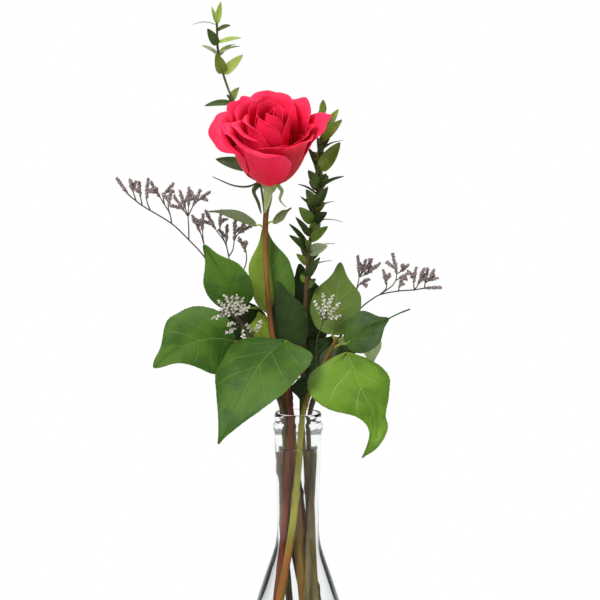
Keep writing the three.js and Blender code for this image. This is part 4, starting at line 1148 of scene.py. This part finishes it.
def floret_shape(name, mouth):
    """A papery trumpet one unit long, with a five-pointed mouth."""

    def surface(across, along):
        turn = across * math.pi
        radius = (0.12, 0.2, 0.24, mouth)[round(along * 3)]
        star = 1 + (0.25 * math.cos(5 * turn) if along > 0.9 else 0)
        return Vector((math.cos(turn) * radius * star, along, math.sin(turn) * radius * star)) / MM

    piece = sheet(name, 10, 3, surface)
    edit(piece, lambda: bpy.ops.mesh.remove_doubles(threshold=1e-4))
    return thicken(piece, 0.05 / MM)


def brush(master, run, habit):
    """Florets set round the last stretch of a sprig, largest near its middle."""
    start, tip = run[-2], run[-1]
    onward = (tip - start).normalized()
    sideways = onward.cross(Vector((0, 1, 0))).normalized()
    other = onward.cross(sideways)
    steps = round((tip - start).length / habit["step"])
    florets = []
    for j in range(steps + 1):
        along = j / steps
        centre = curve(run, (len(run) - 2 + along) / (len(run) - 1))
        swing = j * GOLDEN_TURN + scatter.uniform(-0.5, 0.5)
        outward = sideways * math.cos(swing) + other * math.sin(swing)
        length = (onward + outward * scatter.uniform(*habit["spread"])).normalized()
        side = length.cross(outward).normalized()
        fullness = 0.6 + 0.4 * math.sin(math.pi * (0.15 + 0.75 * along))
        size = scatter.uniform(*habit["size"]) * fullness * MM
        florets.append(copied(master, (side, length, side.cross(length)), centre, size))
    return florets


def forked(run, number):
    """A shorter spike that leaves a sprig low in its brush, to one side or the other in turn."""
    reach = run[-1] - run[-2]
    root = run[-2] + reach * 0.1
    lean = math.radians(-34 if number % 2 else 30)
    swung = Matrix.Rotation(lean, 3, "Y") @ reach * (0.62 + 0.12 * math.sin(3 * number))
    depth = Vector((0, 2.2 if number % 4 < 2 else -2.2, 0))
    return [root, root + reach * 0.16 + swung * 0.14, root + swung + depth]


def limonium_spray(name, line, dried, fresh):
    dried, fresh = ([points(fork, *run) for fork, *runs in rows for run in runs] for rows in (dried, fresh))
    dried = [line, *dried] + [forked(run, number) for number, run in enumerate(dried)]
    radius_at = knobbly(1.5, 0.42, 2, (0.2, 0.37), waist=above_lip)
    parts = [painted(tube(name + "_stem", line, radius_at, sides=7, steps=140), WIRE)]
    for sprigs, paint, habit in ((dried, DRIED, DRIED_HABIT), (fresh, FRESH, FRESH_HABIT)):
        master = painted(floret_shape(name + "_floret", habit["mouth"]), paint)
        for run in sprigs:
            if run is not line:
                stalk = tube(name + "_sprig", run, tapered(0.42, 0.26), sides=6, steps=8 * len(run))
                parts.append(painted(stalk, WIRE))
            parts.extend(brush(master, run, habit))
        bpy.data.objects.remove(master)
    finished(joined(name + "_whole", parts), "limonium", name)


# Studio


def make_camera(scene, aim):
    distance, elevation = 1.8, math.radians(6.5)
    away = Vector((0, -math.cos(elevation), math.sin(elevation)))
    eye = bpy.data.cameras.new("camera")
    eye.lens = 180
    eye.sensor_width = 36
    camera = bpy.data.objects.new("camera", eye)
    scene.collection.objects.link(camera)
    camera.location = aim + away * distance
    camera.rotation_euler = away.to_track_quat("Z", "Y").to_euler()
    scene.camera = camera


def make_floor():
    """White ground that takes the vase's shadow and fades into the backdrop."""
    bpy.ops.object.select_all(action="DESELECT")
    bpy.ops.mesh.primitive_plane_add(size=40, location=(0, 0, 0))
    floor = bpy.context.object
    floor.name = "floor"
    ground = Paint("floor_white", {"Base Color": (0.9, 0.9, 0.9), "Roughness": 0.9})
    x, y, _ = ground.axes(ground.place())
    distance = (x * x + y * y) ** 0.5
    bright = ground.node("ShaderNodeEmission", {}, {"Color": (1, 1, 1), "Strength": 1.0})
    ground.blend_with(bright, ground.between(distance, 0.12, 0.42))
    painted(floor, ground)


def make_room(scene):
    """A soft white room, with a brighter white where the camera sees it."""
    room_light, backdrop_light = 0.34, 1.0
    world = bpy.data.worlds.new("studio")
    scene.world = world
    world.use_nodes = True
    tree = world.node_tree
    room = tree.nodes["Background"]
    backdrop = tree.nodes.new("ShaderNodeBackground")
    for light, strength in ((room, room_light), (backdrop, backdrop_light)):
        light.inputs["Color"].default_value = (1, 1, 1, 1)
        light.inputs["Strength"].default_value = strength
    path = tree.nodes.new("ShaderNodeLightPath")
    shown = tree.nodes.new("ShaderNodeMixShader")
    tree.links.new(path.outputs["Is Camera Ray"], shown.inputs[0])
    tree.links.new(room.outputs[0], shown.inputs[1])
    tree.links.new(backdrop.outputs[0], shown.inputs[2])
    tree.links.new(shown.outputs[0], tree.nodes["World Output"].inputs["Surface"])


def make_lamps(scene, aim):
    for name, place, size, power in (
        ("key", (-1.0, -1.3, 1.7), 0.7, 38),
        ("fill", (1.6, -1.3, 0.8), 1.2, 4),
        ("top", (0.3, 0.5, 2.0), 1.0, 18),
    ):
        lamp = bpy.data.lights.new(name, "AREA")
        lamp.size = size
        lamp.energy = power
        light = bpy.data.objects.new(name, lamp)
        light.location = place
        light.rotation_euler = (Vector(place) - aim).to_track_quat("Z", "Y").to_euler()
        scene.collection.objects.link(light)


def make_studio():
    scene = bpy.context.scene
    scene.view_settings.view_transform = "Standard"
    aim = Vector((0.0012, 0, 0.286))
    make_camera(scene, aim)
    make_floor()
    make_room(scene)
    make_lamps(scene, aim)


make_studio()
make_vase()
make_water()
make_stems()
make_petals()
make_hip()
make_sepals()
make_leaves()
make_myrtle()
limonium_spray("limonium_left", LIMONIUM_LEFT_LINE, LEFT_DRIED, LEFT_FRESH)
limonium_spray("limonium_right", LIMONIUM_RIGHT_LINE, RIGHT_DRIED, RIGHT_FRESH)
